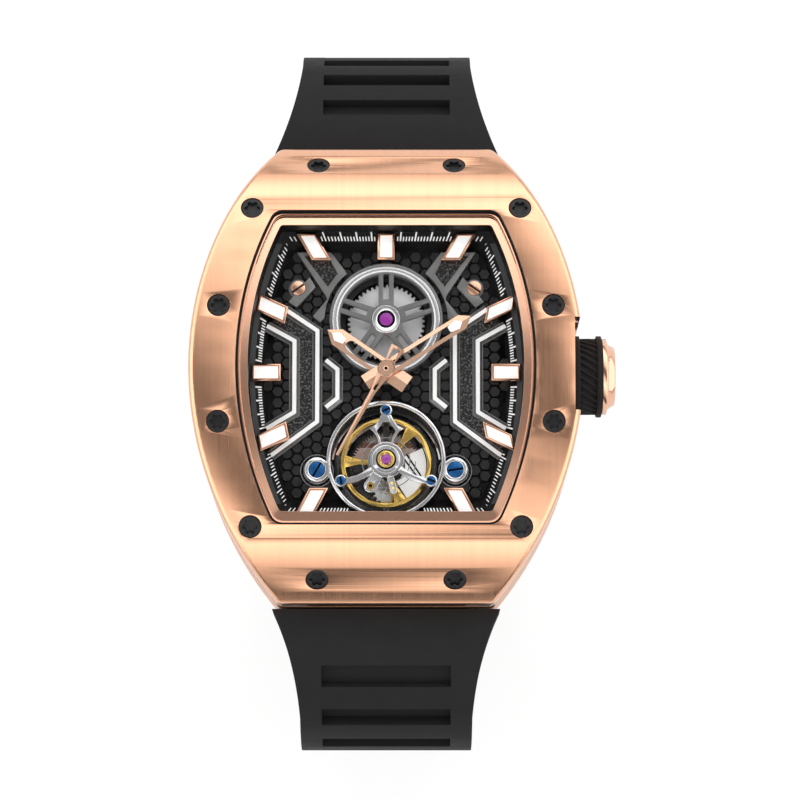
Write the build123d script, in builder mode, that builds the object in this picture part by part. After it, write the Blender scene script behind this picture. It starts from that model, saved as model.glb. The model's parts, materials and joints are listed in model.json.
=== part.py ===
from build123d import *
import os
from math import asin, atan2, cos, degrees, hypot, pi, radians, sin, sqrt

# Tonneau watch with an open dial, a barrel wheel at 12 and a tourbillon at 6.
# Frame: the hands turn about Z, 12 o'clock is +Y, the crown is +X, and z = 0 is
# the surface that the closed strap stands on. Depths are measured down from the
# crest of the bezel. All lengths are millimetres.

# Shared values
case_top = 60.0
overrun = 2.0
press_gap = 0.02
running_gap = 0.05
slip_gap = 0.10
air_gap = 0.25

# Case
case_width = 42.7
case_length = 50.6
case_side_radius = 38.0
case_corner = 1.2
case_thickness = 14.6
crest_radius = 74.0
crest_half = 16.8
bezel_thickness = 3.2
bezel_end_radius = 16.0
bezel_under_radius = 19.0
bezel_bevel = 0.7
gasket_thickness = 0.3
gasket_inset = 0.5
back_thickness = 3.1
back_crest_radius = 95.0
back_under_radius = 90.0
ledge_depth = 6.2
cavity_width = 35.6
cavity_length = 38.8
cavity_side_radius = 39.5
cavity_corner = 2.5

# Openings of the bezel and of the inner flange
opening_width = 32.5
opening_length = 34.6
opening_side_radius = 38.5
opening_corner = 1.5
aperture_width = 29.9
aperture_length = 31.5
aperture_side_radius = 37.5
aperture_corner = 0.5
crystal_inset = 0.6
crystal_thickness = 1.5

# Bezel and back screws
bezel_screw_radius = 1.2
bezel_screw_shank_radius = 0.7
bezel_screw_head = 0.9
bezel_screw_length = 2.2
bezel_screw_sink = 0.15
screw_recess_radius = 0.62
screw_recess_depth = 0.45
screw_lobe_radius = 0.24
screw_lobes = 6
end_screw_x, end_screw_y = 7.45, 22.9
corner_screw_x, corner_screw_y = 14.6, 17.5
side_screw_x, side_screw_y = 18.1, 6.35
back_screw_x, back_screw_y = 9.5, 21.9
back_side_screw_x, back_side_screw_y = 18.6, 7.6
back_screw_radius = 1.0
back_screw_head = 0.8

# Display back
back_window_width = 25.0
back_window_length = 30.0
back_window_side_radius = 40.0
back_window_corner = 3.0
back_glass_rim = 1.1
back_glass_thickness = 1.3
back_glass_flange = 0.8
back_glass_sink = 0.5

# Chapter ring, dial and hour marks
ring_width = 34.0
ring_length = 34.6
ring_side_radius = 39.0
ring_corner = 2.0
ring_inner_width = 26.4
ring_inner_length = 27.8
ring_inner_side_radius = 36.0
ring_inner_corner = 0.8
dial_depth = 7.7
dial_thickness = 0.4
index_depth = 5.9
index_height = 1.9
index_width = 1.85
index_length = 2.95
side_index_length = 3.15
index_wall = 0.27
index_lume_sink = 0.1
index_floor = 0.8
# Each hour mark: its hour, the centre of its top face in x and y, and its lean
side_index_x = 13.1
upper_index_x, upper_index_y = 12.5, 7.1
high_index_x, high_index_y = 7.95, 14.0
lower_index_x, lower_index_y = 12.3, 7.1
low_index_x, low_index_y = 8.1, 14.25
top_index_y = 14.05
index_leans = {12: 0, 1: 30, 2: 65, 3: 90, 4: 115, 5: 152, 7: -152, 8: -115, 9: -90, 10: -65, 11: -30}

# Dial furniture: centre lines and outlines as shares of the ring's inner half sizes
outer_bracket_shares = ((-0.841, 0.518), (-0.571, 0.345), (-0.571, -0.381), (-0.951, -0.651))
middle_bracket_shares = ((-0.992, 0.385), (-0.761, 0.263), (-0.761, -0.306), (-0.992, -0.439))
inner_bracket_shares = ((0, 0.110), (0.096, 0.035), (0.096, -0.195), (0, -0.268))
small_bracket_seat_share = 0.62
frame_outer_shares = ((-0.745, 0.975), (-0.627, 0.804), (-0.499, 0.621), (-0.494, 0.596), (-0.610, 0.460),
                      (-0.549, 0.414), (-0.455, 0.496), (-0.288, 0.758), (-0.458, 0.975))
frame_inner_shares = ((-0.684, 0.950), (-0.486, 0.698), (-0.407, 0.804), (-0.486, 0.950))
screw_plate_shares = ((-0.639, 0.776), (-0.587, 0.697), (-0.745, 0.534), (-0.814, 0.577))
frame_ring_gap = 0.58
plate_screw_x, plate_screw_y = 9.68, 9.56
plate_screw_turn = 35
bracket_depth = 6.9
bracket_height = 0.8
bracket_width = 1.1
middle_bracket_width = 1.15
small_bracket_width = 1.2
plate_screw_radius = 0.78
plate_screw_height = 0.5
plate_screw_shank = 0.4
slot_width = 0.22
slot_depth = 0.2

# Movement
plate_depth = 8.1
plate_thickness = 2.0
train_bridge_depth = 11.3
train_bridge_thickness = 1.3
centre_recess_radius = 1.75
centre_recess_depth = 1.0
pillar_radius = 1.1
pillar_places = ((11.0, 12.5), (-11.0, 12.5), (12.5, -6.0), (-12.5, -6.0))
bridge_screw_radius = 0.9
bridge_screw_head = 0.4
bridge_screw_shank = 0.45

# Barrel at 12 o'clock
barrel_y = 5.95
barrel_ring_radius = 6.2
barrel_ring_bore = 5.05
barrel_hub_radius = 1.78
barrel_ring_depth = 6.2
barrel_ring_height = 0.7
spoke_slot_width = 0.63
spoke_bar_width = 0.52
spoke_slot_start = 2.2
spoke_count = 5
jewel_radius = 0.72
jewel_height = 0.45
barrel_depth = 8.2
barrel_tooth_band = 0.45
barrel_tip_radius = 4.25
barrel_teeth = 46
tooth_height = 0.3
barrel_drum_radius = 3.7
barrel_drum_height = 2.4
barrel_wall = 0.4
barrel_arbor_radius = 0.7
barrel_pivot_radius = 0.45
barrel_spring_wall = 1.0
centre_boss_radius = 1.25
wheel_recess_gap = 0.15
ratchet_tip_radius = 3.6
ratchet_teeth = 36
ratchet_thickness = 0.4

# Tourbillon at 6 o'clock
cage_y = -9.6
cage_ring_radius = 6.5
cage_ring_width = 0.42
cage_ring_depth = 6.3
cage_ring_height = 1.8
ear_x, ear_drop = 7.55, 1.1
ear_radius = 1.35
blue_screw_radius = 0.85
blue_screw_height = 0.45
blue_screw_shank = 0.42
left_blue_screw_turn, right_blue_screw_turn = 60, 8
cage_bridge_depth = 6.2
cage_bridge_height = 0.55
cage_arm_width = 0.65
cage_arm_radius = 5.45
cage_arm_end = 0.64
cage_hub_radius = 1.93
cage_arm_angles = (90, 205.5, 334.5)
cage_spare_arm = 270
wishbone_outer_shares = ((0.100, 0.900), (0.143, 0.802), (0.228, 0.684), (0.345, 0.628), (0.261, 0.576),
                         (0.185, 0.468), (0.143, 0.330))
wishbone_inner_shares = ((0.064, 0.761), (0.193, 0.578), (0.119, 0.440), (0.100, 0.330))
cage_curve_shares = ((-0.250, -0.160), (-0.560, -0.372), (-0.903, -0.431))
cage_screw_radius = 0.5
cage_screw_height = 0.3
cage_screw_shank = 0.18
cage_pillar_radius = 0.3
cage_screw_length = 1.4
cage_screw_turns = (25, 100, 160)
cage_base_depth = 11.1
cage_base_thickness = 0.5
cage_base_rim = 0.8
cage_base_lip = 0.1
cage_pivot_radius = 0.35
shock_radius = 0.92
shock_height = 0.25
cage_jewel_radius = 0.42
regulator_length = 3.3
regulator_width = 0.6
regulator_root = 0.5
regulator_end = 0.72
regulator_angle = 239
stud_length = 3.45
stud_width = 0.75
stud_angle = 284
regulator_eyelet = 0.3
regulator_height = 0.25
balance_depth = 8.5
balance_radius = 4.95
balance_rim_width = 0.45
balance_rim_height = 0.8
balance_spoke_width = 0.55
balance_spoke_flare = 1.5
balance_hub_radius = 0.95
balance_spoke_angles = (52, 178, 290)
staff_radius = 0.22
roller_radius = 0.55
roller_height = 0.35
hairspring_depth = 7.6
hairspring_start = 0.75
hairspring_pitch = 0.62
hairspring_half_turns = 8
hairspring_wire = 0.06
escape_y = -3.05
escape_radius = 1.5
escape_pinion_radius = 0.5
escape_pinion_teeth = 8
escape_teeth = 15
escape_depth = 10.05
escape_thickness = 0.3
pallet_y = -1.05
pallet_depth = 9.65
pallet_staff_radius = 0.14
pallet_arm = 0.62
pallet_width = 0.24
pallet_thickness = 0.25
fixed_wheel_radius = 4.6
fixed_wheel_tip = 3.6
fixed_wheel_depth = 11.8
lower_bar_width = 1.8
fixed_wheel_teeth = 72
fixed_wheel_thickness = 0.3

# Train wheels on the hand axis and beside it
centre_wheel_radius = 2.0
centre_wheel_teeth = 40
wheel_thickness = 0.3
centre_pinion_radius = 1.6
centre_pinion_teeth = 14
centre_pinion_depth = 8.45
centre_wheel_depth = 10.3
fourth_wheel_depth = 10.75
hour_wheel_depth = 8.15
hour_wheel_radius = 1.2
hour_wheel_teeth = 16
hour_wheel_thickness = 0.2
third_x, third_y = 6.3, 0.4
third_wheel_radius = 2.9
third_teeth = 44
third_depth = 10.3
third_staff_radius = 0.35
crown_wheel_x, crown_wheel_y = 5.0, 3.4
crown_wheel_radius = 1.9
crown_wheel_screw = 0.6
crown_wheel_teeth = 20

# Hands, stacked from the seconds hand down, with their angles clockwise from 12
seconds_angle = 209.0
minute_angle = 57.5
hour_angle = -55.2
seconds_depth = 3.55
hand_thickness = 0.22
hand_step = 0.5
seconds_length = 10.9
seconds_tail = 2.7
seconds_width = 0.6
seconds_root = 3.0
seconds_hub_radius = 0.8
minute_length = 10.95
minute_tail = 2.7
minute_width = 1.7
hour_length = 7.8
hour_tail = 2.8
hour_width = 2.05
hand_hub_radius = 0.95
hand_bar = 0.3
hand_tip_share = 0.64
hand_head_share = 1.25
hand_rail = 0.42
seconds_bore = 0.25
seconds_arbor_radius = 0.2
cannon_radius = 0.42
hour_pipe_radius = 0.68

# Crown, stem and setting lever
crown_depth = 8.9
crown_seat_x = 20.4
crown_recess_half = 5.1
crown_start_x = 20.65
crown_flange_width = 0.55
crown_knurl_width = 1.85
crown_disc_width = 0.6
crown_cap_width = 0.88
crown_flange_radius = 4.48
crown_knurl_radius = 4.2
crown_knurl_depth = 0.3
crown_knurls = 30
crown_core_radius = 3.4
crown_cap_radius = 3.66
crown_cap_end_radius = 3.17
crown_bore_radius = 2.0
crown_bore_depth = 2.2
crown_pull = 1.2
tube_radius = 1.6
tube_bore = 0.75
tube_start_x = 17.85
tube_end_x = 20.95
stem_radius = 0.6
stem_start_x = 11.5
stem_groove_radius = 0.4
stem_groove_x = 14.0
stem_groove_width = 0.6
lever_plate_width = 2.2
lever_plate_length = 1.6
lever_thickness = 0.35

# Strap
strap_reach = 39.8
strap_turn_height = 36.0
strap_corner_radius = 16.0
strap_flat_end_y = 15.4
strap_thickness = 2.8
strap_root_top_depth = 10.7
strap_root_bottom_depth = 16.4
strap_root_width = 25.0
strap_width = 19.0
strap_end_width = 16.4
strap_waist_share = 0.35
strap_waist_width = 21.3
strap_root_gap = 0.15
strap_end_height = 3.0
strap_window_width = 14.2
strap_window_depth = 1.3
upper_window_start, upper_rib_pitch, upper_rib_gap = 17.1, 4.3, 2.0
lower_window_start, lower_rib_pitch, lower_rib_gap = 15.7, 5.5, 2.55
rib_gaps = 6
tongue_width = 15.0
tongue_length = 2.6
tongue_top_depth = 11.95
tongue_thickness = 1.9
strap_pin_radius = 0.5
strap_pin_length = 20.0
strap_pin_inset = 1.4

# Folding clasp
clasp_width = 21.6
clasp_end_y = 16.5
clasp_plate = 1.4
clasp_wall = 0.8
clasp_wall_top = 5.2
clasp_wall_half_length = 4.5
clasp_pin_radius = 0.5
clasp_hinge_y = -14.9
clasp_hinge_height = 1.3
clasp_knuckle_radius = 1.1
clasp_knuckle_width = 10.0
clasp_blade_bottom = 1.7
clasp_blade_thickness = 1.25
clasp_blade_width = 15.0
clasp_blade_gap = 0.6
clasp_catch_end_y = 12.0
strap_end_y = 3.0
clasp_screw_radius = 0.9
clasp_screw_head = 0.4
clasp_screw_shank = 0.45
clasp_screw_length = 1.8
clasp_screw_places = ((-4.5, 8.0), (4.5, 8.0), (-4.5, -8.0), (4.5, -8.0))
button_width = 4.6
button_height = 2.2
button_proud = 1.0
button_flange = 0.8
button_flange_lip = 0.35
button_y = 10.0
button_middle = 3.3


# Shared shapes

def height(depth):
    """Height above the standing surface of a depth below the bezel's crest."""
    return case_top - depth


def plane_at(depth, x=0, y=0):
    """Level workplane at a depth, centred on a point."""
    return Plane(origin=(x, y, height(depth)), x_dir=(1, 0, 0), z_dir=(0, 0, 1))


def side_bow(side_radius, y):
    """How far a bowed side has drawn in at a place along its length."""
    return side_radius - sqrt(side_radius ** 2 - y ** 2)


def tonneau(width, length, side_radius, corner, depth):
    """Barrel outline: bowed sides, straight ends and rounded corners."""
    side = width / 2
    end = length / 2
    shoulder = side - side_bow(side_radius, end)
    with BuildSketch(plane_at(depth)) as shape:
        with BuildLine():
            Line((-shoulder, end), (shoulder, end))
            ThreePointArc((shoulder, end), (side, 0), (shoulder, -end))
            Line((shoulder, -end), (-shoulder, -end))
            ThreePointArc((-shoulder, -end), (-side, 0), (-shoulder, end))
        make_face()
        fillet(shape.vertices(), corner)
    return shape.sketch


def crest_drop(y, end_radius):
    """Fall of the bezel's crest at y: a flat arc that tightens past crest_half."""
    reach = abs(y)
    if reach <= crest_half:
        return crest_radius - sqrt(crest_radius ** 2 - reach ** 2)
    start = crest_half / crest_radius
    turned = start + (reach - crest_half) / end_radius
    first = crest_radius - sqrt(crest_radius ** 2 - crest_half ** 2)
    return first + end_radius * (sqrt(1 - start ** 2) - sqrt(1 - turned ** 2))


def crest_slope(y, end_radius):
    """Slope of the crest at y, in degrees, positive where it falls towards +Y."""
    reach = abs(y)
    start = min(reach, crest_half) / crest_radius
    turned = start + max(reach - crest_half, 0) / end_radius
    return degrees(asin(turned)) * (1 if y > 0 else -1)


def crest_points(depth, end_radius):
    """Points of a crest curve at a depth, with the middles of its three arcs."""
    end = case_length / 2 + overrun / 2
    half_way = (crest_half + end) / 2
    stations = (-end, -half_way, -crest_half, 0, crest_half, half_way, end)
    return [(y, height(depth + crest_drop(y, end_radius))) for y in stations]


def plain_arc_points(depth, radius):
    """Ends and middle of a single shallow arc at a depth, as on the back."""
    end = case_length / 2 + overrun / 2
    fall = radius - sqrt(radius ** 2 - end ** 2)
    return [(-end, height(depth + fall)), (0, height(depth)), (end, height(depth + fall))]


def ribbon(points, width):
    """Outline of a bent strip: its centre line widened, with mitred corners."""
    half = width / 2
    sides = []
    for sign in (1, -1):
        side = []
        for place, (x, y) in enumerate(points):
            before = points[max(place - 1, 0)]
            after = points[min(place + 1, len(points) - 1)]
            into = unit((x - before[0], y - before[1])) if place else unit((after[0] - x, after[1] - y))
            out = unit((after[0] - x, after[1] - y)) if place < len(points) - 1 else into
            normal = unit((-(into[1] + out[1]), into[0] + out[0]))
            mitre = half / (normal[0] * -into[1] + normal[1] * into[0])
            side.append((x + sign * mitre * normal[0], y + sign * mitre * normal[1]))
        sides.append(side)
    return sides[0] + sides[1][::-1]


def turned(points, angle):
    """Points turned about the origin by an angle in degrees."""
    c, s = cos(radians(angle)), sin(radians(angle))
    return [(c * x - s * y, s * x + c * y) for x, y in points]


def unit(vector):
    """Vector of length one in the same direction."""
    length = hypot(*vector)
    return vector[0] / length, vector[1] / length


def prism(points, depth, thickness):
    """Flat plate of a given outline, from a depth down by its thickness."""
    with BuildPart() as plate:
        with BuildSketch(plane_at(depth)):
            with BuildLine():
                Polyline(*points, close=True)
            make_face()
        extrude(amount=-thickness)
    return plate.part


def toothed_outline(tip_radius, teeth, tooth):
    """Points of a gear outline with flat-topped teeth, four to a tooth."""
    points = []
    tooth_shares = ((0, 0), (0.18, 1), (0.46, 1), (0.64, 0))
    for place in range(teeth):
        for share, rise in tooth_shares:
            angle = 2 * pi * (place + share) / teeth
            radius = tip_radius - tooth * (1 - rise)
            points.append((radius * cos(angle), radius * sin(angle)))
    return points


def toothed_wheel(tip_radius, teeth, tooth, bore, depth, thickness, x=0, y=0):
    """Flat gear with a bore, its top at a depth."""
    with BuildPart() as wheel:
        with BuildSketch(plane_at(depth, x, y)):
            with BuildLine():
                Polyline(*toothed_outline(tip_radius, teeth, tooth), close=True)
            make_face()
            Circle(bore, mode=Mode.SUBTRACT)
        extrude(amount=-thickness)
    return wheel.part


def crossed_wheel(tip_radius, teeth, depth, bore, x=0, y=0, rim_share=0.76, hub_share=0.3):
    """Gear with its web cut into four spokes."""
    rim = tip_radius * rim_share
    hub = tip_radius * hub_share
    with BuildPart() as wheel:
        add(toothed_wheel(tip_radius, teeth, tooth_height, bore, depth, wheel_thickness, x, y))
        with BuildSketch(plane_at(depth, x, y)):
            Circle(rim)
            Circle(hub, mode=Mode.SUBTRACT)
            Rectangle(2 * tip_radius, hub / 2, mode=Mode.SUBTRACT)
            Rectangle(hub / 2, 2 * tip_radius, mode=Mode.SUBTRACT)
        extrude(amount=-wheel_thickness, mode=Mode.SUBTRACT)
    return wheel.part


def slotted_screw(depth, head_radius, head_height, shank_radius, shank_length, x, y, turn=0):
    """Cheese-head screw with one slot, its head's top at a depth."""
    with BuildPart() as screw:
        with BuildSketch(plane_at(depth, x, y)):
            Circle(head_radius)
        extrude(amount=-head_height)
        with BuildSketch(plane_at(depth + head_height, x, y)):
            Circle(shank_radius)
        extrude(amount=-shank_length)
        with BuildSketch(plane_at(depth, x, y)):
            Rectangle(2 * head_radius + overrun, slot_width, rotation=turn)
        extrude(amount=-slot_depth, mode=Mode.SUBTRACT)
    return screw.part


def mirrored_x(part):
    """The part and its mirror image across the YZ plane, as separate solids."""
    with BuildPart() as pair:
        add(part)
        mirror(about=Plane.YZ)
    return pair.part


def save(piece, label):
    """Label a finished piece and write it under its node's name."""
    piece.label = label
    export_step(piece, f"parts/{label}.step")


# Case

def curve_arcs(points):
    """Chain of arcs, each through three points of a side-view curve."""
    for first in range(0, len(points) - 2, 2):
        ThreePointArc(points[first], points[first + 1], points[first + 2])


def case_slice(top, bottom, inset=0):
    """Slice of the case between two side-view curves, inside its plan outline."""
    with BuildPart() as piece:
        with BuildSketch(Plane.YZ):
            with BuildLine():
                curve_arcs(top)
                Line(top[-1], bottom[-1])
                curve_arcs(bottom)
                Line(bottom[0], top[0])
            make_face()
        extrude(amount=case_width, both=True)
        plan = tonneau(case_width - 2 * inset, case_length - 2 * inset, case_side_radius - inset,
                       case_corner, case_top)
        extrude(plan, amount=case_top + overrun, mode=Mode.INTERSECT)
    return piece.part


def cut_crown_recess(inset=0):
    """Recess in the case side round the crown, cut from the slice being built."""
    seat = Plane(origin=(crown_seat_x - inset, 0, 0), x_dir=(0, 1, 0), z_dir=(1, 0, 0))
    with BuildSketch(seat) as outline:
        Rectangle(2 * (crown_recess_half + inset), 4 * case_top)
    extrude(outline.sketch, amount=case_width, mode=Mode.SUBTRACT)


def mirrored_places(*quadrant):
    """Every place of one quadrant with its three mirror images."""
    return [(sx * x, sy * y) for x, y in quadrant for sx in (1, -1) for sy in (1, -1)]


def bezel_screw_planes():
    """Workplanes on the crest of the bezel, square to it at each screw."""
    quadrant = ((end_screw_x, end_screw_y), (corner_screw_x, corner_screw_y), (side_screw_x, side_screw_y))
    planes = []
    for x, y in mirrored_places(*quadrant):
        slope = radians(crest_slope(y, bezel_end_radius))
        origin = (x, y, height(crest_drop(y, bezel_end_radius) + bezel_screw_sink))
        planes.append(Plane(origin=origin, x_dir=(1, 0, 0), z_dir=(0, sin(slope), cos(slope))))
    return planes


def bezel_rim_edges(bezel):
    """Outer edges of the bezel's crest."""
    rim = []
    for edge in bezel.edges():
        middle = edge.position_at(0.5)
        on_crest = abs(middle.Z - height(crest_drop(middle.Y, bezel_end_radius))) < running_gap
        across = abs(middle.X) < running_gap and abs(middle.Y) < case_length / 2 - bezel_bevel
        if on_crest and not across:
            rim.append(edge)
    return rim


def make_bezel():
    """Bezel with its rounded rim and twelve screw seats."""
    with BuildPart() as bezel:
        add(case_slice(crest_points(0, bezel_end_radius), crest_points(bezel_thickness, bezel_under_radius)))
        fillet(bezel_rim_edges(bezel), bezel_bevel)
        cut_crown_recess()
        extrude(tonneau(opening_width, opening_length, opening_side_radius, opening_corner, case_top),
                amount=case_top + overrun, mode=Mode.SUBTRACT)
        for plane in bezel_screw_planes():
            with BuildSketch(plane.offset(-bezel_screw_head)):
                Circle(bezel_screw_radius + running_gap)
            extrude(amount=bezel_screw_head + overrun, mode=Mode.SUBTRACT)
            with BuildSketch(plane):
                Circle(bezel_screw_shank_radius + running_gap)
            extrude(amount=-bezel_screw_head - bezel_screw_length - overrun, mode=Mode.SUBTRACT)
    return bezel.part


def make_bezel_screws():
    """Twelve black screws with lobed recesses, square to the bezel."""
    with BuildPart() as screws:
        for plane in bezel_screw_planes():
            with BuildSketch(plane):
                Circle(bezel_screw_radius)
            extrude(amount=-bezel_screw_head)
            with BuildSketch(plane.offset(-bezel_screw_head)):
                Circle(bezel_screw_shank_radius)
            extrude(amount=-bezel_screw_length)
            with BuildSketch(plane):
                Circle(screw_recess_radius)
                with PolarLocations(screw_recess_radius, screw_lobes):
                    Circle(screw_lobe_radius)
            extrude(amount=-screw_recess_depth, mode=Mode.SUBTRACT)
    return screws.part


def cut_bezel_screw_holes():
    """Holes for the shanks of the bezel screws, cut from the part being built."""
    for plane in bezel_screw_planes():
        with BuildSketch(plane) as outline:
            Circle(bezel_screw_shank_radius + running_gap)
        extrude(outline.sketch, amount=-bezel_screw_head - bezel_screw_length - slip_gap, mode=Mode.SUBTRACT)


def make_bezel_gasket():
    """Rubber seal between the bezel and the case middle."""
    top = crest_points(bezel_thickness, bezel_under_radius)
    bottom = crest_points(bezel_thickness + gasket_thickness, bezel_under_radius)
    with BuildPart() as gasket:
        add(case_slice(top, bottom, gasket_inset))
        cut_crown_recess(gasket_inset)
        extrude(tonneau(opening_width + 2 * gasket_inset, opening_length + 2 * gasket_inset,
                        opening_side_radius + gasket_inset, opening_corner + gasket_inset, case_top),
                amount=case_top + overrun, mode=Mode.SUBTRACT)
        cut_bezel_screw_holes()
    return gasket.part


def cavity_outline(shrink, depth):
    """Outline of the movement's cavity, drawn in by a clearance."""
    return tonneau(cavity_width - 2 * shrink, cavity_length - 2 * shrink, cavity_side_radius - shrink,
                   cavity_corner, depth)


def tongue_block(side, clearance):
    """The strap's tongue, or with a clearance the pocket that takes it."""
    with BuildPart() as block:
        centre_y = side * (case_length / 2 - (tongue_length - overrun) / 2)
        with BuildSketch(plane_at(tongue_top_depth - clearance, 0, centre_y)):
            Rectangle(tongue_width + 2 * clearance, tongue_length + overrun + 2 * clearance)
        extrude(amount=-tongue_thickness - 2 * clearance)
    return block.part


def strap_pin_plane(side):
    """Workplane across the case end, on the axis of a strap pin."""
    pin_y = side * (case_length / 2 - strap_pin_inset)
    pin_z = height(tongue_top_depth + tongue_thickness / 2)
    return Plane(origin=(-strap_pin_length / 2, pin_y, pin_z), z_dir=(1, 0, 0))


def make_case_middle():
    """Case middle with its cavity, crown bore, strap pockets and pin holes."""
    top = crest_points(bezel_thickness + gasket_thickness, bezel_under_radius)
    bottom = plain_arc_points(case_thickness - back_thickness, back_crest_radius)
    with BuildPart() as middle:
        add(case_slice(top, bottom))
        cut_crown_recess()
        extrude(tonneau(opening_width, opening_length, opening_side_radius, opening_corner, ledge_depth),
                amount=ledge_depth, mode=Mode.SUBTRACT)
        extrude(cavity_outline(0, ledge_depth), amount=-case_thickness, mode=Mode.SUBTRACT)
        cut_bezel_screw_holes()
        with BuildSketch(Plane(origin=(0, 0, height(crown_depth)), z_dir=(1, 0, 0))):
            Circle(tube_radius)
        extrude(amount=case_width, mode=Mode.SUBTRACT)
        for side in (1, -1):
            add(tongue_block(side, slip_gap), mode=Mode.SUBTRACT)
            with BuildSketch(strap_pin_plane(side)):
                Circle(strap_pin_radius + press_gap)
            extrude(amount=strap_pin_length, mode=Mode.SUBTRACT)
        cut_back_screw_holes(back_screw_radius / 2)
    return middle.part


def back_screw_places():
    """Places of the screws of the display back."""
    return mirrored_places((back_screw_x, back_screw_y), (back_side_screw_x, back_side_screw_y))


def back_screw_depth(y):
    """Depth of a back screw's head face, just inside the curved back."""
    return case_thickness + back_under_radius - sqrt(back_under_radius ** 2 - y ** 2) - running_gap


def cut_back_screw_holes(radius):
    """Holes for the shanks of the back screws, cut from the part being built."""
    for x, y in back_screw_places():
        with BuildSketch(plane_at(back_screw_depth(y), x, y)) as outline:
            Circle(radius + running_gap)
        extrude(outline.sketch, amount=2 * back_thickness, mode=Mode.SUBTRACT)


def back_glass_outline(shrink, depth):
    """Outline of the back crystal, drawn in by a clearance."""
    return tonneau(back_window_width + 2 * back_glass_rim - 2 * shrink,
                   back_window_length + 2 * back_glass_rim - 2 * shrink,
                   back_window_side_radius, back_window_corner + back_glass_rim, depth)


def back_window_outline(shrink, depth):
    """Outline of the window in the display back, drawn in by a clearance."""
    return tonneau(back_window_width - 2 * shrink, back_window_length - 2 * shrink,
                   back_window_side_radius, back_window_corner, depth)


def make_case_back():
    """Display back: a curved frame round the rear window."""
    glass_top = case_thickness - back_glass_sink - back_glass_thickness
    with BuildPart() as back:
        add(case_slice(plain_arc_points(case_thickness - back_thickness, back_crest_radius),
                       plain_arc_points(case_thickness, back_under_radius)))
        cut_crown_recess()
        extrude(cavity_outline(0, glass_top), amount=case_thickness, mode=Mode.SUBTRACT)
        extrude(back_glass_outline(0, glass_top + back_glass_flange), amount=case_thickness,
                mode=Mode.SUBTRACT)
        extrude(back_window_outline(0, 2 * case_thickness), amount=case_thickness + overrun,
                mode=Mode.SUBTRACT)
        cut_back_screw_holes(back_screw_radius / 2)
        for x, y in back_screw_places():
            with BuildSketch(plane_at(back_screw_depth(y) - back_screw_head, x, y)):
                Circle(back_screw_radius + running_gap)
            extrude(amount=-back_screw_head - overrun, mode=Mode.SUBTRACT)
    return back.part


def make_back_crystal():
    """Flat rear window, let into the back from inside, with a flange behind the frame's lip."""
    outer_face = case_thickness - back_glass_sink
    flange_face = outer_face - back_glass_thickness + back_glass_flange
    with BuildPart() as glass:
        extrude(back_glass_outline(press_gap, flange_face), amount=back_glass_flange - press_gap)
        extrude(back_window_outline(press_gap, outer_face), amount=back_glass_thickness - press_gap)
    return glass.part


def make_back_screws():
    """Eight slotted screws that hold the display back."""
    with BuildPart() as screws:
        for x, y in back_screw_places():
            face = back_screw_depth(y)
            with BuildSketch(plane_at(face, x, y)):
                Circle(back_screw_radius)
            extrude(amount=back_screw_head)
            with BuildSketch(plane_at(face - back_screw_head, x, y)):
                Circle(back_screw_radius / 2)
            extrude(amount=back_thickness)
            with BuildSketch(plane_at(face, x, y)):
                Rectangle(2 * back_screw_radius + overrun, slot_width)
            extrude(amount=slot_depth, mode=Mode.SUBTRACT)
    return screws.part


def make_front_crystal():
    """Domed front crystal that follows the crest inside the bezel's opening."""
    with BuildPart() as glass:
        with BuildSketch(Plane.YZ):
            with BuildLine():
                top = crest_points(crystal_inset, bezel_end_radius)
                bottom = crest_points(crystal_inset + crystal_thickness, bezel_end_radius)
                curve_arcs(top)
                Line(top[-1], bottom[-1])
                curve_arcs(bottom)
                Line(bottom[0], top[0])
            make_face()
        extrude(amount=case_width, both=True)
        extrude(tonneau(opening_width - 2 * running_gap, opening_length - 2 * running_gap,
                        opening_side_radius - running_gap, opening_corner, case_top),
                amount=case_top + overrun, mode=Mode.INTERSECT)
    return glass.part


def make_inner_flange():
    """Inner ring under the crystal, with a sloped edge round the aperture."""
    below_glass = crystal_inset + crystal_thickness + press_gap
    with BuildPart() as flange:
        with BuildSketch(Plane.YZ):
            with BuildLine():
                top = crest_points(below_glass, bezel_end_radius)
                curve_arcs(top)
                Polyline(top[-1], (top[-1][0], 0), (top[0][0], 0), top[0])
            make_face()
        extrude(amount=case_width, both=True)
        extrude(tonneau(opening_width - 4 * running_gap, opening_length - 4 * running_gap,
                        opening_side_radius - 2 * running_gap, opening_corner, ledge_depth),
                amount=ledge_depth + overrun, mode=Mode.INTERSECT)
        extrude(tonneau(aperture_width, aperture_length, aperture_side_radius, aperture_corner, ledge_depth),
                amount=case_top, mode=Mode.SUBTRACT)
    return flange.part


# Dial side

def plate_outline(depth):
    """Outline shared by the dial, the main plate and the rear bridge."""
    return cavity_outline(running_gap, depth)


def make_chapter_ring():
    """Sloped ring that carries the minute track."""
    with BuildPart() as ring:
        extrude(tonneau(ring_width, ring_length, ring_side_radius, ring_corner, ledge_depth),
                amount=-(dial_depth - ledge_depth))
        loft([tonneau(aperture_width, aperture_length, aperture_side_radius, aperture_corner, ledge_depth),
              tonneau(ring_inner_width, ring_inner_length, ring_inner_side_radius, ring_inner_corner,
                      dial_depth)], mode=Mode.SUBTRACT)
        cut_index_beds()
        opening_cut(0, cage_y, cage_ring_radius + slip_gap, ledge_depth, dial_depth - ledge_depth)
    return ring.part


def index_places():
    """Centre and lean of each applied hour mark, the lean clockwise from 12."""
    right = {
        1: (high_index_x, high_index_y), 2: (upper_index_x, upper_index_y), 3: (side_index_x, 0),
        4: (lower_index_x, -lower_index_y), 5: (low_index_x, -low_index_y),
    }
    places = [(12, 0, top_index_y)]
    for hour, (x, y) in right.items():
        places.append((hour, x, y))
        places.append((12 - hour, -x, y))
    return [(x, y, index_leans[hour]) for hour, x, y in places]


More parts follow.
